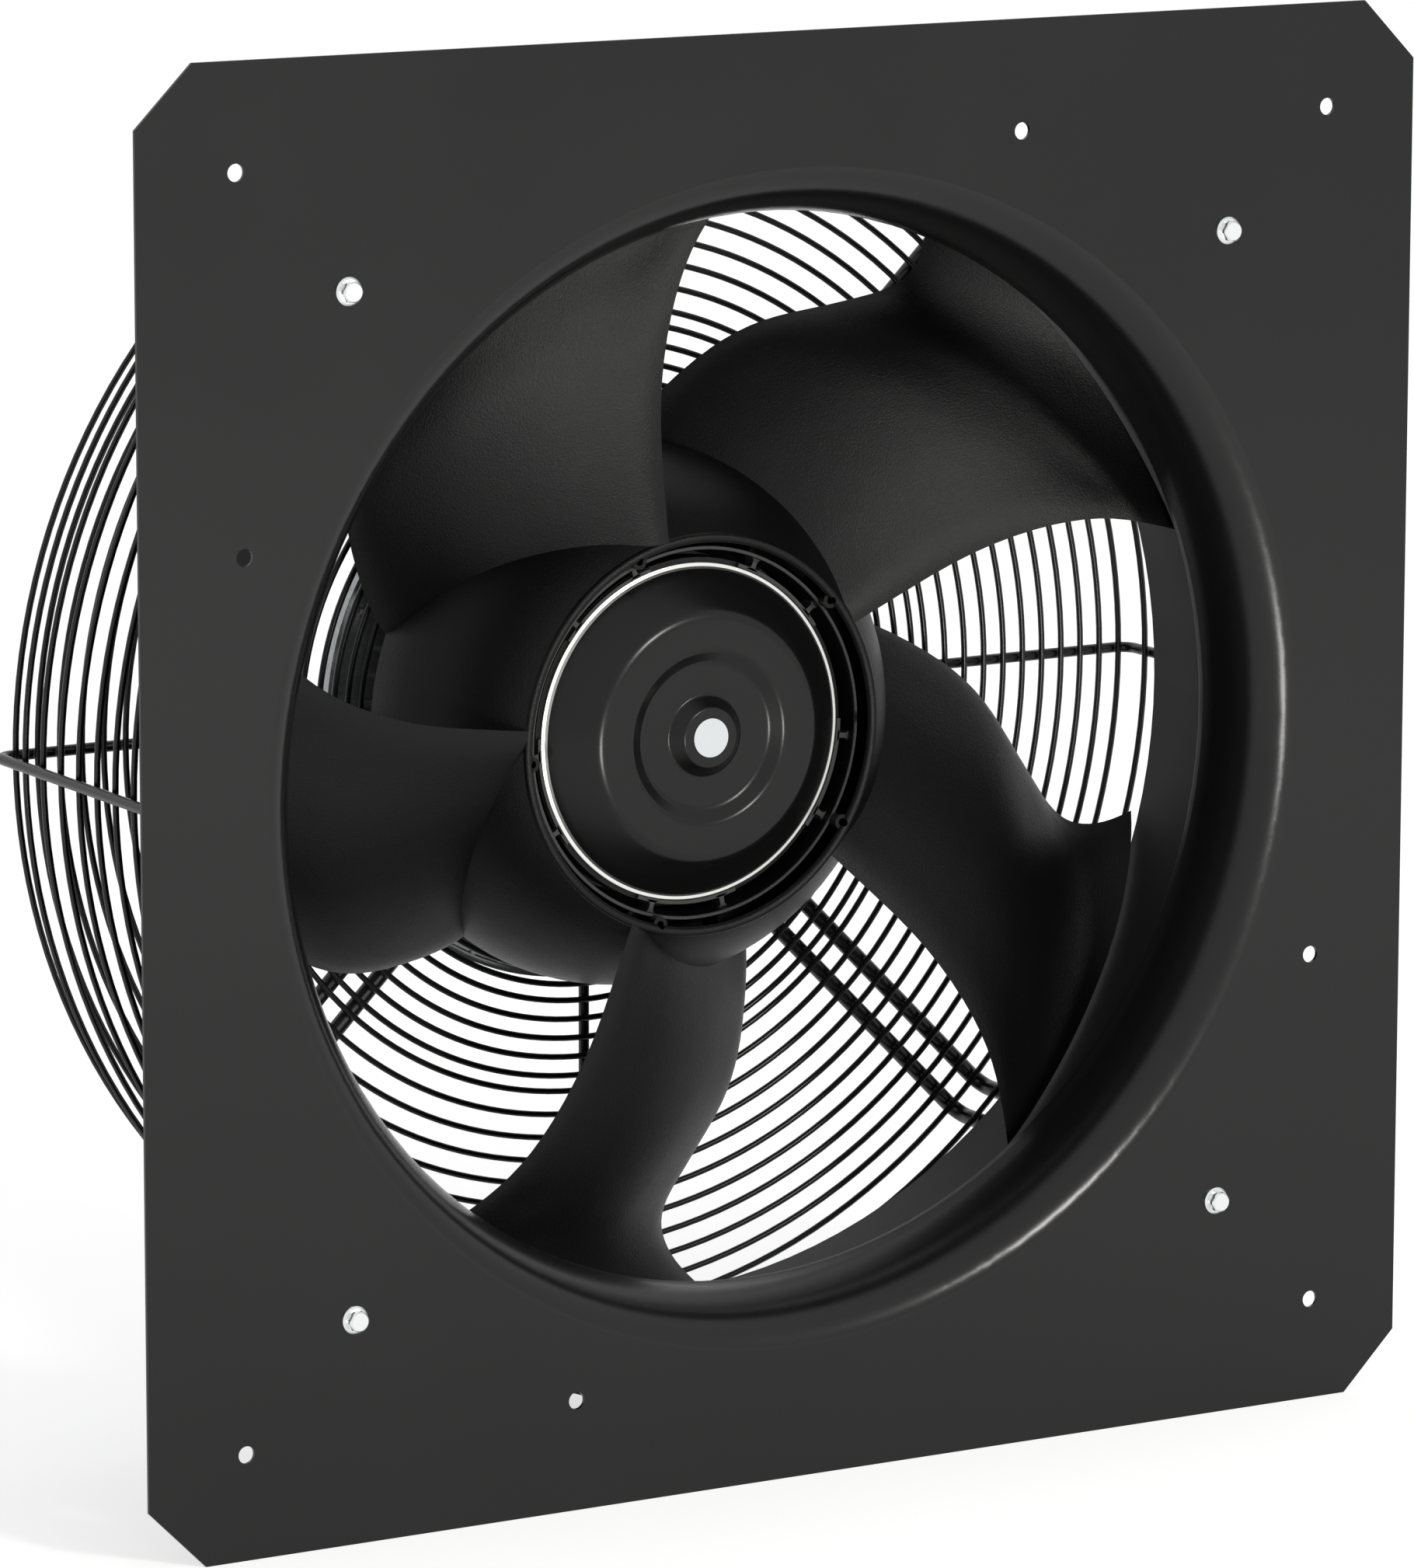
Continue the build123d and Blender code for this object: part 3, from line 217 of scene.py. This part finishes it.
def dress(material, *nodes):
    """Give CAD nodes a material in every slot."""
    for name in nodes:
        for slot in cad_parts[name].material_slots:
            slot.material = material


def mesh_piece(name, points, faces, body, smooth=True):
    """A new piece from arrays of points and faces, riding on a body."""
    mesh = bpy.data.meshes.new(name)
    mesh.from_pydata(points.reshape(-1, 3).tolist(), [], faces.tolist())
    mesh.shade_smooth() if smooth else None
    piece = bpy.data.objects.new(name, mesh)
    bpy.context.scene.collection.objects.link(piece)
    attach(piece, body)
    return piece


def bars(name, corners, body):
    """Bars from an array of shape (bars, places along, corners round, 3): sides between places and a cap at each end."""
    count, along, around = corners.shape[:3]
    index = np.arange(along * around).reshape(along, around)
    ahead = np.roll(index, -1, 1)
    sides = np.stack([index[:-1], ahead[:-1], ahead[1:], index[1:]], axis=-1).reshape(-1, 4)
    one = np.concatenate([sides, index[:1], index[-1:, ::-1]])
    faces = (one[None] + (np.arange(count) * index.size)[:, None, None]).reshape(-1, 4)
    piece = mesh_piece(name, corners, faces, body)
    close_up(piece.data)
    piece.data.set_sharp_from_angle(angle=math.radians(35))
    return piece


class WallFanFinish(bpy.types.PropertyGroup):
    plate_colour: FloatVectorProperty(
        name="Plate colour", description="Powder coat on the wall plate", size=4, subtype="COLOR", min=0, max=1,
        default=linear("#0d0d0d"),
    )
    guard_colour: FloatVectorProperty(
        name="Guard colour", description="Powder coat on the wires", size=4, subtype="COLOR", min=0, max=1,
        default=linear("#0a0a0a"),
    )
    blade_colour: FloatVectorProperty(
        name="Blade colour", description="Moulded nylon of the impeller", size=4, subtype="COLOR", min=0, max=1,
        default=linear("#070707"),
    )
    rotor_colour: FloatVectorProperty(
        name="Rotor colour", description="Paint on the rotor's face", size=4, subtype="COLOR", min=0, max=1,
        default=linear("#0d0d0d"),
    )
    grain: FloatProperty(
        name="Blade grain", description="Size of the mould's grain", default=0.0008, unit="LENGTH", subtype="DISTANCE", min=0.0001,
    )
    weld_size: FloatProperty(
        name="Weld size", description="Radius of a weld between two wires", default=0.0017, unit="LENGTH", subtype="DISTANCE",
        min=0.0005,
    )


class WallFanStage(bpy.types.PropertyGroup):
    floor_gap: FloatProperty(
        name="Floor gap", description="Room between the plate and the floor", default=0.0, unit="LENGTH", subtype="DISTANCE",
    )
    key_power: FloatProperty(name="Key light", description="Power of the low light in front", default=44.0, min=0, unit="POWER")
    side_power: FloatProperty(name="Side light", description="Power of the high light on the right", default=38.0, min=0, unit="POWER")
    sky: FloatProperty(name="Sky", description="Strength of the even light from all round", default=0.6, min=0)


def looked_at(tree):
    """1 for what the camera, a reflection or a see-through part looks at, and 0 for the light that falls on things."""
    path = add_node(tree, "ShaderNodeLightPath")
    direct = add_node(
        tree, "ShaderNodeMath", {0: path.outputs["Is Camera Ray"], 1: path.outputs["Is Glossy Ray"]}, operation="MAXIMUM"
    )
    both = add_node(
        tree, "ShaderNodeMath", {0: direct.outputs["Value"], 1: path.outputs["Is Transmission Ray"]}, operation="MAXIMUM"
    )
    return both.outputs["Value"]


class WALLFAN_OT_stage(bpy.types.Operator):
    """Set the camera, the lights, the white surroundings and the floor"""

    bl_idname = "wallfan.stage"
    bl_label = "Stage"

    def execute(self, context):
        stage = context.scene.wallfan_stage
        scene = context.scene
        scene.view_settings.view_transform = "Standard"
        camera = bpy.data.cameras.new("camera")
        camera.sensor_fit = "HORIZONTAL"
        camera.sensor_width = 36.0
        camera.lens = FOCAL_PIXELS / PICTURE_WIDTH * 36.0
        camera.shift_x = -CENTRE_OFFSET_PIXELS[0] / PICTURE_WIDTH
        camera.shift_y = -CENTRE_OFFSET_PIXELS[1] / PICTURE_WIDTH
        camera.clip_end = 50
        holder = bpy.data.objects.new("camera", camera)
        scene.collection.objects.link(holder)
        turn = (
            Matrix.Rotation(-CAMERA_YAW, 4, "Z") @ Matrix.Rotation(-CAMERA_PITCH, 4, "X")
            @ Matrix.Rotation(-CAMERA_ROLL, 4, "Y") @ Matrix.Rotation(math.pi / 2, 4, "X")
        )
        holder.matrix_world = Matrix.Translation(CAMERA_PLACE) @ turn
        scene.camera = holder
        self.light("low_front_softbox", (-0.704, -3.05, -0.665), 0.4, stage.key_power)
        self.light("high_right_softbox", (0.56, -2.85, 1.07), 0.4, stage.side_power)
        self.world(scene, stage.sky)
        self.floor(PLATE_LOW[2] - stage.floor_gap)
        return {"FINISHED"}

    def light(self, name, place, size, power):
        lamp = bpy.data.lights.new(name, "AREA")
        lamp.shape = "SQUARE"
        lamp.size = size
        lamp.energy = power
        lamp.color = (1.0, 0.985, 0.96)
        holder = bpy.data.objects.new(name, lamp)
        holder.location = place
        holder.rotation_euler = (-Vector(place)).to_track_quat("-Z", "Y").to_euler()
        bpy.context.scene.collection.objects.link(holder)

    def world(self, scene, strength):
        """White where the camera, a reflection or a see-through part looks at it, and the lamp level elsewhere."""
        world = bpy.data.worlds.new("studio")
        world.use_nodes = True
        tree = world.node_tree
        tree.nodes.clear()
        level = add_node(tree, "ShaderNodeMapRange", {"Value": looked_at(tree), "To Min": strength, "To Max": 1.0})
        back = add_node(tree, "ShaderNodeBackground", {"Color": (1, 1, 1, 1), "Strength": level.outputs["Result"]})
        add_node(tree, "ShaderNodeOutputWorld", {"Surface": back.outputs["Background"]})
        scene.world = world

    def floor(self, height):
        """A flat square; its white is lifted for the camera so that only the shadow shows."""
        side = 12.0
        corners = np.array([[-side, -side, height], [side, -side, height], [side, side, height], [-side, side, height]])
        mesh = bpy.data.meshes.new("floor")
        mesh.from_pydata(corners.tolist(), [], [(0, 1, 2, 3)])
        floor = bpy.data.objects.new("floor", mesh)
        bpy.context.scene.collection.objects.link(floor)
        material, tree = new_material("white_paper")
        matt = add_node(tree, "ShaderNodeBsdfDiffuse", {"Color": (0.8, 0.8, 0.8, 1)})
        lifted = add_node(tree, "ShaderNodeMapRange", {"Value": looked_at(tree), "To Max": FLOOR_LIFT})
        lift = add_node(tree, "ShaderNodeEmission", {"Color": (1, 1, 1, 1), "Strength": lifted.outputs["Result"]})
        both = add_node(tree, "ShaderNodeAddShader")
        tree.links.new(matt.outputs["BSDF"], both.inputs[0])
        tree.links.new(lift.outputs["Emission"], both.inputs[1])
        finish_material(tree, both.outputs["Shader"])
        mesh.materials.append(material)
        floor.visible_shadow = False


class WALLFAN_OT_plate(bpy.types.Operator):
    """Powder-coat the wall plate with its nozzle"""

    bl_idname = "wallfan.plate"
    bl_label = "Wall plate"

    def execute(self, context):
        finish = context.scene.wallfan_finish
        dress(powder_coat("powder_coated_sheet_steel", tuple(finish.plate_colour), 1.4, 0.23, 1.38, 0.03), "wall_plate")
        return {"FINISHED"}


class WALLFAN_OT_impeller(bpy.types.Operator):
    """Give the impeller its moulded nylon"""

    bl_idname = "wallfan.impeller"
    bl_label = "Impeller"

    def execute(self, context):
        finish = context.scene.wallfan_finish
        nylon = moulded_nylon("moulded_glass_filled_nylon", tuple(finish.blade_colour), finish.grain * 1000, 0.33, 1.27)
        dress(nylon, "impeller")
        # The rib fronts and thin lips get a lighter, matt nylon than the blades: a painted highlight on their front
        # edges.
        painted_highlight_nylon = moulded_nylon("nylon_with_painted_highlight", linear("#151515"), 0.5, 0.5)
        for name, corners in (
            ("hub_rib_fronts", self.rib_fronts()),
            ("hub_collar_lips", self.turned_lips(LIP_ANGLES, 33, (LIP_INNER, LIP_OUTER), (RIB_FRONT, LIP_BACK))),
            ("hub_ring_lips", self.turned_lips((0, 360 / BLADE_COUNT), 31, RING_LIP_RADII, RING_LIP_DEPTHS)),
        ):
            bars(name, corners, "rotor").data.materials.append(painted_highlight_nylon)
        return {"FINISHED"}

    def rib_fronts(self):
        """Ribs from the collar to the ring round it, half as wide as R + F (2s - 1)^4 where s runs along each from 0 to 1."""
        turns = np.radians(np.add.outer(np.arange(BLADE_COUNT) * 360 / BLADE_COUNT, RIB_ANGLES).ravel())
        s = np.linspace(0, 1, 25)
        reach = RIB_INNER + (RIB_OUTER - RIB_INNER) * s
        half = RIB_HALF + RIB_FLARE * (2 * s - 1) ** 4
        side = np.array([-1.0, 1.0, 1.0, -1.0])
        depth = np.array([RIB_FRONT, RIB_FRONT, RIB_BACK, RIB_BACK])
        across = half[:, None] * side
        out = np.stack([np.cos(turns), 0 * turns, np.sin(turns)], axis=-1)[:, None, None, :]
        beside = np.stack([-np.sin(turns), 0 * turns, np.cos(turns)], axis=-1)[:, None, None, :]
        return reach[:, None, None] * out + across[..., None] * beside + depth[:, None] * np.array([0.0, 1.0, 0.0])

    def turned_lips(self, angles, steps, radii, depths):
        """Five lips: a rectangle of radii and depths turned about the Y axis from one angle to the other, once per blade."""
        starts = np.arange(BLADE_COUNT)[:, None] * 360 / BLADE_COUNT
        turn = np.radians(starts + np.linspace(*angles, steps)[None, :])[..., None]
        reach = np.array([radii[0], radii[1], radii[1], radii[0]])
        depth = np.array([depths[0], depths[0], depths[1], depths[1]])
        return np.stack([reach * np.cos(turn), depth + 0 * turn, reach * np.sin(turn)], axis=-1)


class WALLFAN_OT_rotor(bpy.types.Operator):
    """Paint the rotor's face and leave its side bare"""

    bl_idname = "wallfan.rotor"
    bl_label = "Rotor"

    def execute(self, context):
        finish = context.scene.wallfan_finish
        material, tree = new_material("painted_and_turned_steel")
        place = add_node(tree, "ShaderNodeTexCoord").outputs["Object"]
        split = add_node(tree, "ShaderNodeSeparateXYZ", {"Vector": place})
        peel = add_node(tree, "ShaderNodeTexNoise", {"Vector": place, "Scale": 900.0, "Detail": 2.0})
        bump = add_node(tree, "ShaderNodeBump", {"Height": peel.outputs["Fac"], "Strength": 0.1, "Distance": 0.0001})
        paint = add_node(
            tree, "ShaderNodeBsdfPrincipled",
            {"Base Color": tuple(finish.rotor_colour), "Roughness": 0.24, "Normal": bump.outputs["Normal"], "IOR": 1.34},
        )
        bare = add_node(
            tree, "ShaderNodeBsdfPrincipled", {"Base Color": linear("#d3d3d0"), "Metallic": 1.0, "Roughness": 0.32}
        )
        edge = add_node(tree, "ShaderNodeMath", {0: split.outputs["Y"], 1: BARE_FROM}, operation="GREATER_THAN")
        mixed = add_node(tree, "ShaderNodeMixShader", {0: edge.outputs["Value"], 1: paint.outputs["BSDF"], 2: bare.outputs["BSDF"]})
        finish_material(tree, mixed.outputs["Shader"])
        shell = self.turned_shell()
        shell.data.materials.append(material)
        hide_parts("rotor_shell")
        dress(metal("ground_shaft_steel", linear("#c6cacc"), 0.3), "shaft")
        return {"FINISHED"}

    def turned_shell(self):
        """The outline turned about the Y axis, each corner C rounded to (1-t)^2 A + 2t(1-t) C + t^2 B between its sides."""
        corner, reach = ROTOR_OUTLINE[:, :2], ROTOR_OUTLINE[:, 2:]
        before = np.roll(corner, 1, 0) - corner
        after = np.roll(corner, -1, 0) - corner
        start = corner + reach * before / np.linalg.norm(before, axis=1, keepdims=True)
        end = corner + reach * after / np.linalg.norm(after, axis=1, keepdims=True)
        t = np.linspace(0, 1, CORNER_STEPS)[None, :, None]
        bend = (1 - t) ** 2 * start[:, None] + 2 * t * (1 - t) * corner[:, None] + t**2 * end[:, None]
        radius, depth = (bend.reshape(-1, 2) / 1000).T
        u = np.linspace(0, 2 * np.pi, ROTOR_STEPS, endpoint=False)[None, :]
        radius, depth = radius[:, None], depth[:, None]
        points = np.stack([radius * np.cos(u), depth + 0 * u, radius * np.sin(u)], axis=-1)
        index = np.arange(points[..., 0].size).reshape(points.shape[:2])
        ahead = np.roll(index, -1, 0)
        quads = np.stack([index, ahead, np.roll(ahead, -1, 1), np.roll(index, -1, 1)], axis=-1).reshape(-1, 4)
        piece = mesh_piece("turned_rotor_shell", points, quads, "rotor")
        close_up(piece.data)
        piece.data.set_sharp_from_angle(angle=math.radians(30))
        return piece


class WALLFAN_OT_guard(bpy.types.Operator):
    """Powder-coat the guard's wires, rods and feet, and weld them at every crossing"""

    bl_idname = "wallfan.guard"
    bl_label = "Guard"

    def execute(self, context):
        finish = context.scene.wallfan_finish
        coat = powder_coat("powder_coated_guard_wire", tuple(finish.guard_colour), 1.0, 0.28, 1.4)
        dress(
            coat, "guard_outer_rings", "guard_middle_rings", "guard_inner_rings", "guard_side_rings", "guard_strut_wires",
            "motor_support_rods", "support_feet", "motor_mounting_ring",
        )
        flat = np.full(len(FLAT_RINGS), FLAT_RING_DEPTH)
        side = np.full(len(SIDE_RING_DEPTHS), SIDE_RING_RADIUS)
        for name, radii, depths in (
            ("inner", INNER_RINGS, flat[: len(INNER_RINGS)]),
            ("middle", MIDDLE_RINGS, flat[: len(MIDDLE_RINGS)]),
            ("outer", OUTER_RINGS, flat[: len(OUTER_RINGS)]),
            ("side", side, SIDE_RING_DEPTHS),
        ):
            rings = self.round_rings(f"round_{name}_rings", radii, depths)
            rings.data.materials.append(coat)
            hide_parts(f"guard_{name}_rings")
        places, along = self.crossings()
        piece = self.beads(places, along, finish.weld_size)
        piece.data.materials.append(coat)
        return {"FINISHED"}

    def round_rings(self, name, radii, depths):
        """Wires bent to rings: radius R + w cos(v) about the Y axis at depth D + w sin(v), with u once round it."""
        u = np.linspace(0, 2 * np.pi, RING_STEPS, endpoint=False)[None, :, None]
        v = np.linspace(0, 2 * np.pi, WIRE_SIDES, endpoint=False)[None, None, :]
        reach = radii[:, None, None] + RING_WIRE / 2 * np.cos(v)
        depth = depths[:, None, None] + RING_WIRE / 2 * np.sin(v)
        points = np.stack([reach * np.cos(u), depth + 0 * u, reach * np.sin(u)], axis=-1)
        index = np.arange(points[..., 0].size).reshape(points.shape[:3])
        ahead = np.roll(index, -1, 1)
        quads = np.stack([index, ahead, np.roll(ahead, -1, 2), np.roll(index, -1, 2)], axis=-1).reshape(-1, 4)
        piece = mesh_piece(name, points, quads, "fan_frame")
        close_up(piece.data)
        return piece

    def crossings(self):
        """Where rings meet struts (across 0) and rods (across one offset each way), and the outward normal there."""
        turns = np.radians(np.concatenate([np.arange(4) * 90.0, np.arange(4) * 90.0 + 45.0, np.arange(4) * 90.0 + 45.0]))
        across = np.concatenate([np.zeros(4), np.full(4, -ROD_OFFSET), np.full(4, ROD_OFFSET)])
        out = np.stack([np.cos(turns), np.zeros(12), np.sin(turns)], axis=-1)
        beside = np.stack([-np.sin(turns), np.zeros(12), np.cos(turns)], axis=-1)
        radii = FLAT_RINGS[:, None]
        reach = np.sqrt(radii**2 - across**2)
        flat = reach[..., None] * out + across[:, None] * beside + np.array([0, FLAT_RING_DEPTH + RING_WIRE / 2, 0])
        flat_normal = np.broadcast_to(np.array([0.0, 1.0, 0.0]), flat.shape)
        side_reach = np.sqrt(SIDE_RING_RADIUS**2 - across**2) + RING_WIRE / 2
        depth = SIDE_RING_DEPTHS[:, None, None] * np.array([0.0, 1.0, 0.0])
        side = side_reach[:, None] * out + across[:, None] * beside + depth
        side_normal = np.broadcast_to(out, side.shape)
        return (
            np.concatenate([flat.reshape(-1, 3), side.reshape(-1, 3)]),
            np.concatenate([flat_normal.reshape(-1, 3), side_normal.reshape(-1, 3)]),
        )

    def beads(self, places, normals, size):
        """Flattened balls: cos(v)(cos(u), sin(u)) across and 0.6 sin(v) along the normal, at every crossing."""
        around, up = 10, 6
        u = np.linspace(0, 2 * np.pi, around, endpoint=False)
        v = np.linspace(-np.pi / 2, np.pi / 2, up + 1)
        first = np.cross(normals, np.where(np.abs(normals[:, 1:2]) > 0.5, [[1.0, 0, 0]], [[0, 1.0, 0]]))
        first /= np.linalg.norm(first, axis=1, keepdims=True)
        second = np.cross(normals, first)
        ring = np.cos(v)[:, None, None] * (
            np.cos(u)[None, :, None] * first[:, None, None, :] + np.sin(u)[None, :, None] * second[:, None, None, :]
        )
        rise = 0.6 * np.sin(v)[:, None, None] * normals[:, None, None, :]
        points = places[:, None, None, :] + size * (ring + rise)
        index = np.arange((up + 1) * around).reshape(up + 1, around)
        quads = np.stack([index[:-1], np.roll(index, -1, 1)[:-1], np.roll(index, -1, 1)[1:], index[1:]], axis=-1).reshape(-1, 4)
        faces = (quads[None] + (np.arange(len(places)) * index.size)[:, None, None]).reshape(-1, 4)
        piece = mesh_piece("weld_spots", points, faces, "fan_frame")
        close_up(piece.data)
        return piece


def close_up(mesh):
    """Merge doubled points at seams and poles and turn all faces outwards."""
    work = bmesh.new()
    work.from_mesh(mesh)
    bmesh.ops.remove_doubles(work, verts=work.verts, dist=1e-6)
    bmesh.ops.recalc_face_normals(work, faces=work.faces)
    work.to_mesh(mesh)
    work.free()


class WALLFAN_OT_fasteners(bpy.types.Operator):
    """Give the bolts, nuts and screws their zinc"""

    bl_idname = "wallfan.fasteners"
    bl_label = "Fasteners"

    def execute(self, context):
        zinc = metal("bright_zinc_plate", linear("#dfe2e2"), 0.28)
        dress(zinc, "guard_bolts", "guard_nuts", "cover_screws", "motor_screws")
        self.threads().data.materials.append(zinc)
        return {"FINISHED"}

    def threads(self):
        """Rolled threads on the bolt ends: radius R + d |1 - 2 frac(y / p - u / 2 pi)|, closed to a point at both ends."""
        around, along = 18, 56
        u = np.linspace(0, 2 * np.pi, around, endpoint=False)[None, :]
        y = np.linspace(THREAD_START, BOLT_END - THREAD_DEPTH, along)[:, None]
        phase = y / THREAD_PITCH - u / (2 * np.pi)
        radius = BOLT_RADIUS + THREAD_DEPTH * np.abs(1 - 2 * (phase - np.floor(phase)))
        radius[0] = 0.0
        radius[-1] = 0.0
        one = np.stack([radius * np.cos(u), y + 0 * u, radius * np.sin(u)], axis=-1)
        half = BOLT_HALF_PITCH
        places = np.array([[x, 0, z] for x in (-half, half) for z in (-half, half)])
        points = one[None] + places[:, None, None, :]
        index = np.arange(one[..., 0].size).reshape(along, around)
        ahead = np.roll(index, -1, 1)
        quads = np.stack([index[:-1], ahead[:-1], ahead[1:], index[1:]], axis=-1).reshape(-1, 4)
        faces = (quads[None] + (np.arange(len(places)) * index.size)[:, None, None]).reshape(-1, 4)
        piece = mesh_piece("bolt_threads", points, faces, "fan_frame", smooth=False)
        close_up(piece.data)
        return piece


class WALLFAN_OT_motor(bpy.types.Operator):
    """Finish what is inside the motor"""

    bl_idname = "wallfan.motor"
    bl_label = "Motor"

    def execute(self, context):
        dress(metal("polished_bearing_steel", linear("#c9cbcc"), 0.15), "front_bearing_outer_ring", "front_bearing_inner_ring",
              "front_bearing_cage", "rear_bearing_outer_ring", "rear_bearing_inner_ring", "rear_bearing_cage")
        dress(metal("oiled_spring_steel", linear("#6b6d70"), 0.3), "retaining_ring", "preload_wave_washer")
        dress(metal("stacked_electrical_sheet", linear("#8d8f92"), 0.4, 0.5, 0.0001, (1, 8, 1)), "stator_core")
        dress(metal("enamelled_copper_wire", linear("#c8743c"), 0.35, 0.8, 0.0002, (1, 3, 1)), "stator_windings")
        dress(moulded_nylon("pressed_ferrite", linear("#3b3b3d"), 1.2, 0.6), "rotor_magnets")
        dress(moulded_nylon("natural_moulded_nylon", linear("#d8cfb4"), 0.8, 0.5), "stator_insulators")
        dress(metal("die_cast_aluminium", linear("#a9abad"), 0.45, 1.2, 0.0002), "motor_flange")
        return {"FINISHED"}


class WALLFAN_OT_electronics(bpy.types.Operator):
    """Finish the electronics housing, its board, its cover and the cable gland"""

    bl_idname = "wallfan.electronics"
    bl_label = "Electronics"

    def execute(self, context):
        dress(metal("as_cast_aluminium", linear("#b4b6b8"), 0.7, 1.2, 0.0002), "electronics_housing")
        dress(moulded_nylon("moulded_black_cover", linear("#1a1a1b"), 1.0, 0.5), "electronics_cover")
        dress(moulded_nylon("moulded_black_gland", linear("#161616"), 0.8, 0.35), "cable_gland_body", "cable_gland_nut")
        dress(moulded_nylon("moulded_rubber", linear("#121212"), 0.8, 0.7), "cover_gasket", "cable_gland_seal")
        dress(moulded_nylon("green_board_laminate", linear("#1c5a34"), 1.5, 0.3), "circuit_board")
        return {"FINISHED"}


OPERATORS = (
    WALLFAN_OT_stage,
    WALLFAN_OT_plate,
    WALLFAN_OT_impeller,
    WALLFAN_OT_rotor,
    WALLFAN_OT_guard,
    WALLFAN_OT_fasteners,
    WALLFAN_OT_motor,
    WALLFAN_OT_electronics,
)


class WALLFAN_PT_panel(bpy.types.Panel):
    """Lists the fan's pieces and their finishes"""

    bl_idname = "WALLFAN_PT_panel"
    bl_label = "Wall fan"
    bl_space_type = "VIEW_3D"
    bl_region_type = "UI"
    bl_category = "Wall Fan"

    def draw(self, context):
        for group in (context.scene.wallfan_finish, context.scene.wallfan_stage):
            for name in group.__annotations__:
                self.layout.prop(group, name)
        for operator in OPERATORS:
            self.layout.operator(operator.bl_idname)


CLASSES = (WallFanFinish, WallFanStage, *OPERATORS, WALLFAN_PT_panel)


def register():
    for cls in CLASSES:
        bpy.utils.register_class(cls)
    bpy.types.Scene.wallfan_finish = PointerProperty(type=WallFanFinish)
    bpy.types.Scene.wallfan_stage = PointerProperty(type=WallFanStage)


def unregister():
    del bpy.types.Scene.wallfan_stage
    del bpy.types.Scene.wallfan_finish
    for cls in reversed(CLASSES):
        bpy.utils.unregister_class(cls)


def main():
    register()
    bpy.ops.wallfan.stage()
    bpy.ops.wallfan.plate()
    bpy.ops.wallfan.impeller()
    bpy.ops.wallfan.rotor()
    bpy.ops.wallfan.guard()
    bpy.ops.wallfan.fasteners()
    bpy.ops.wallfan.motor()
    bpy.ops.wallfan.electronics()


if __name__ == "__main__":
    main()
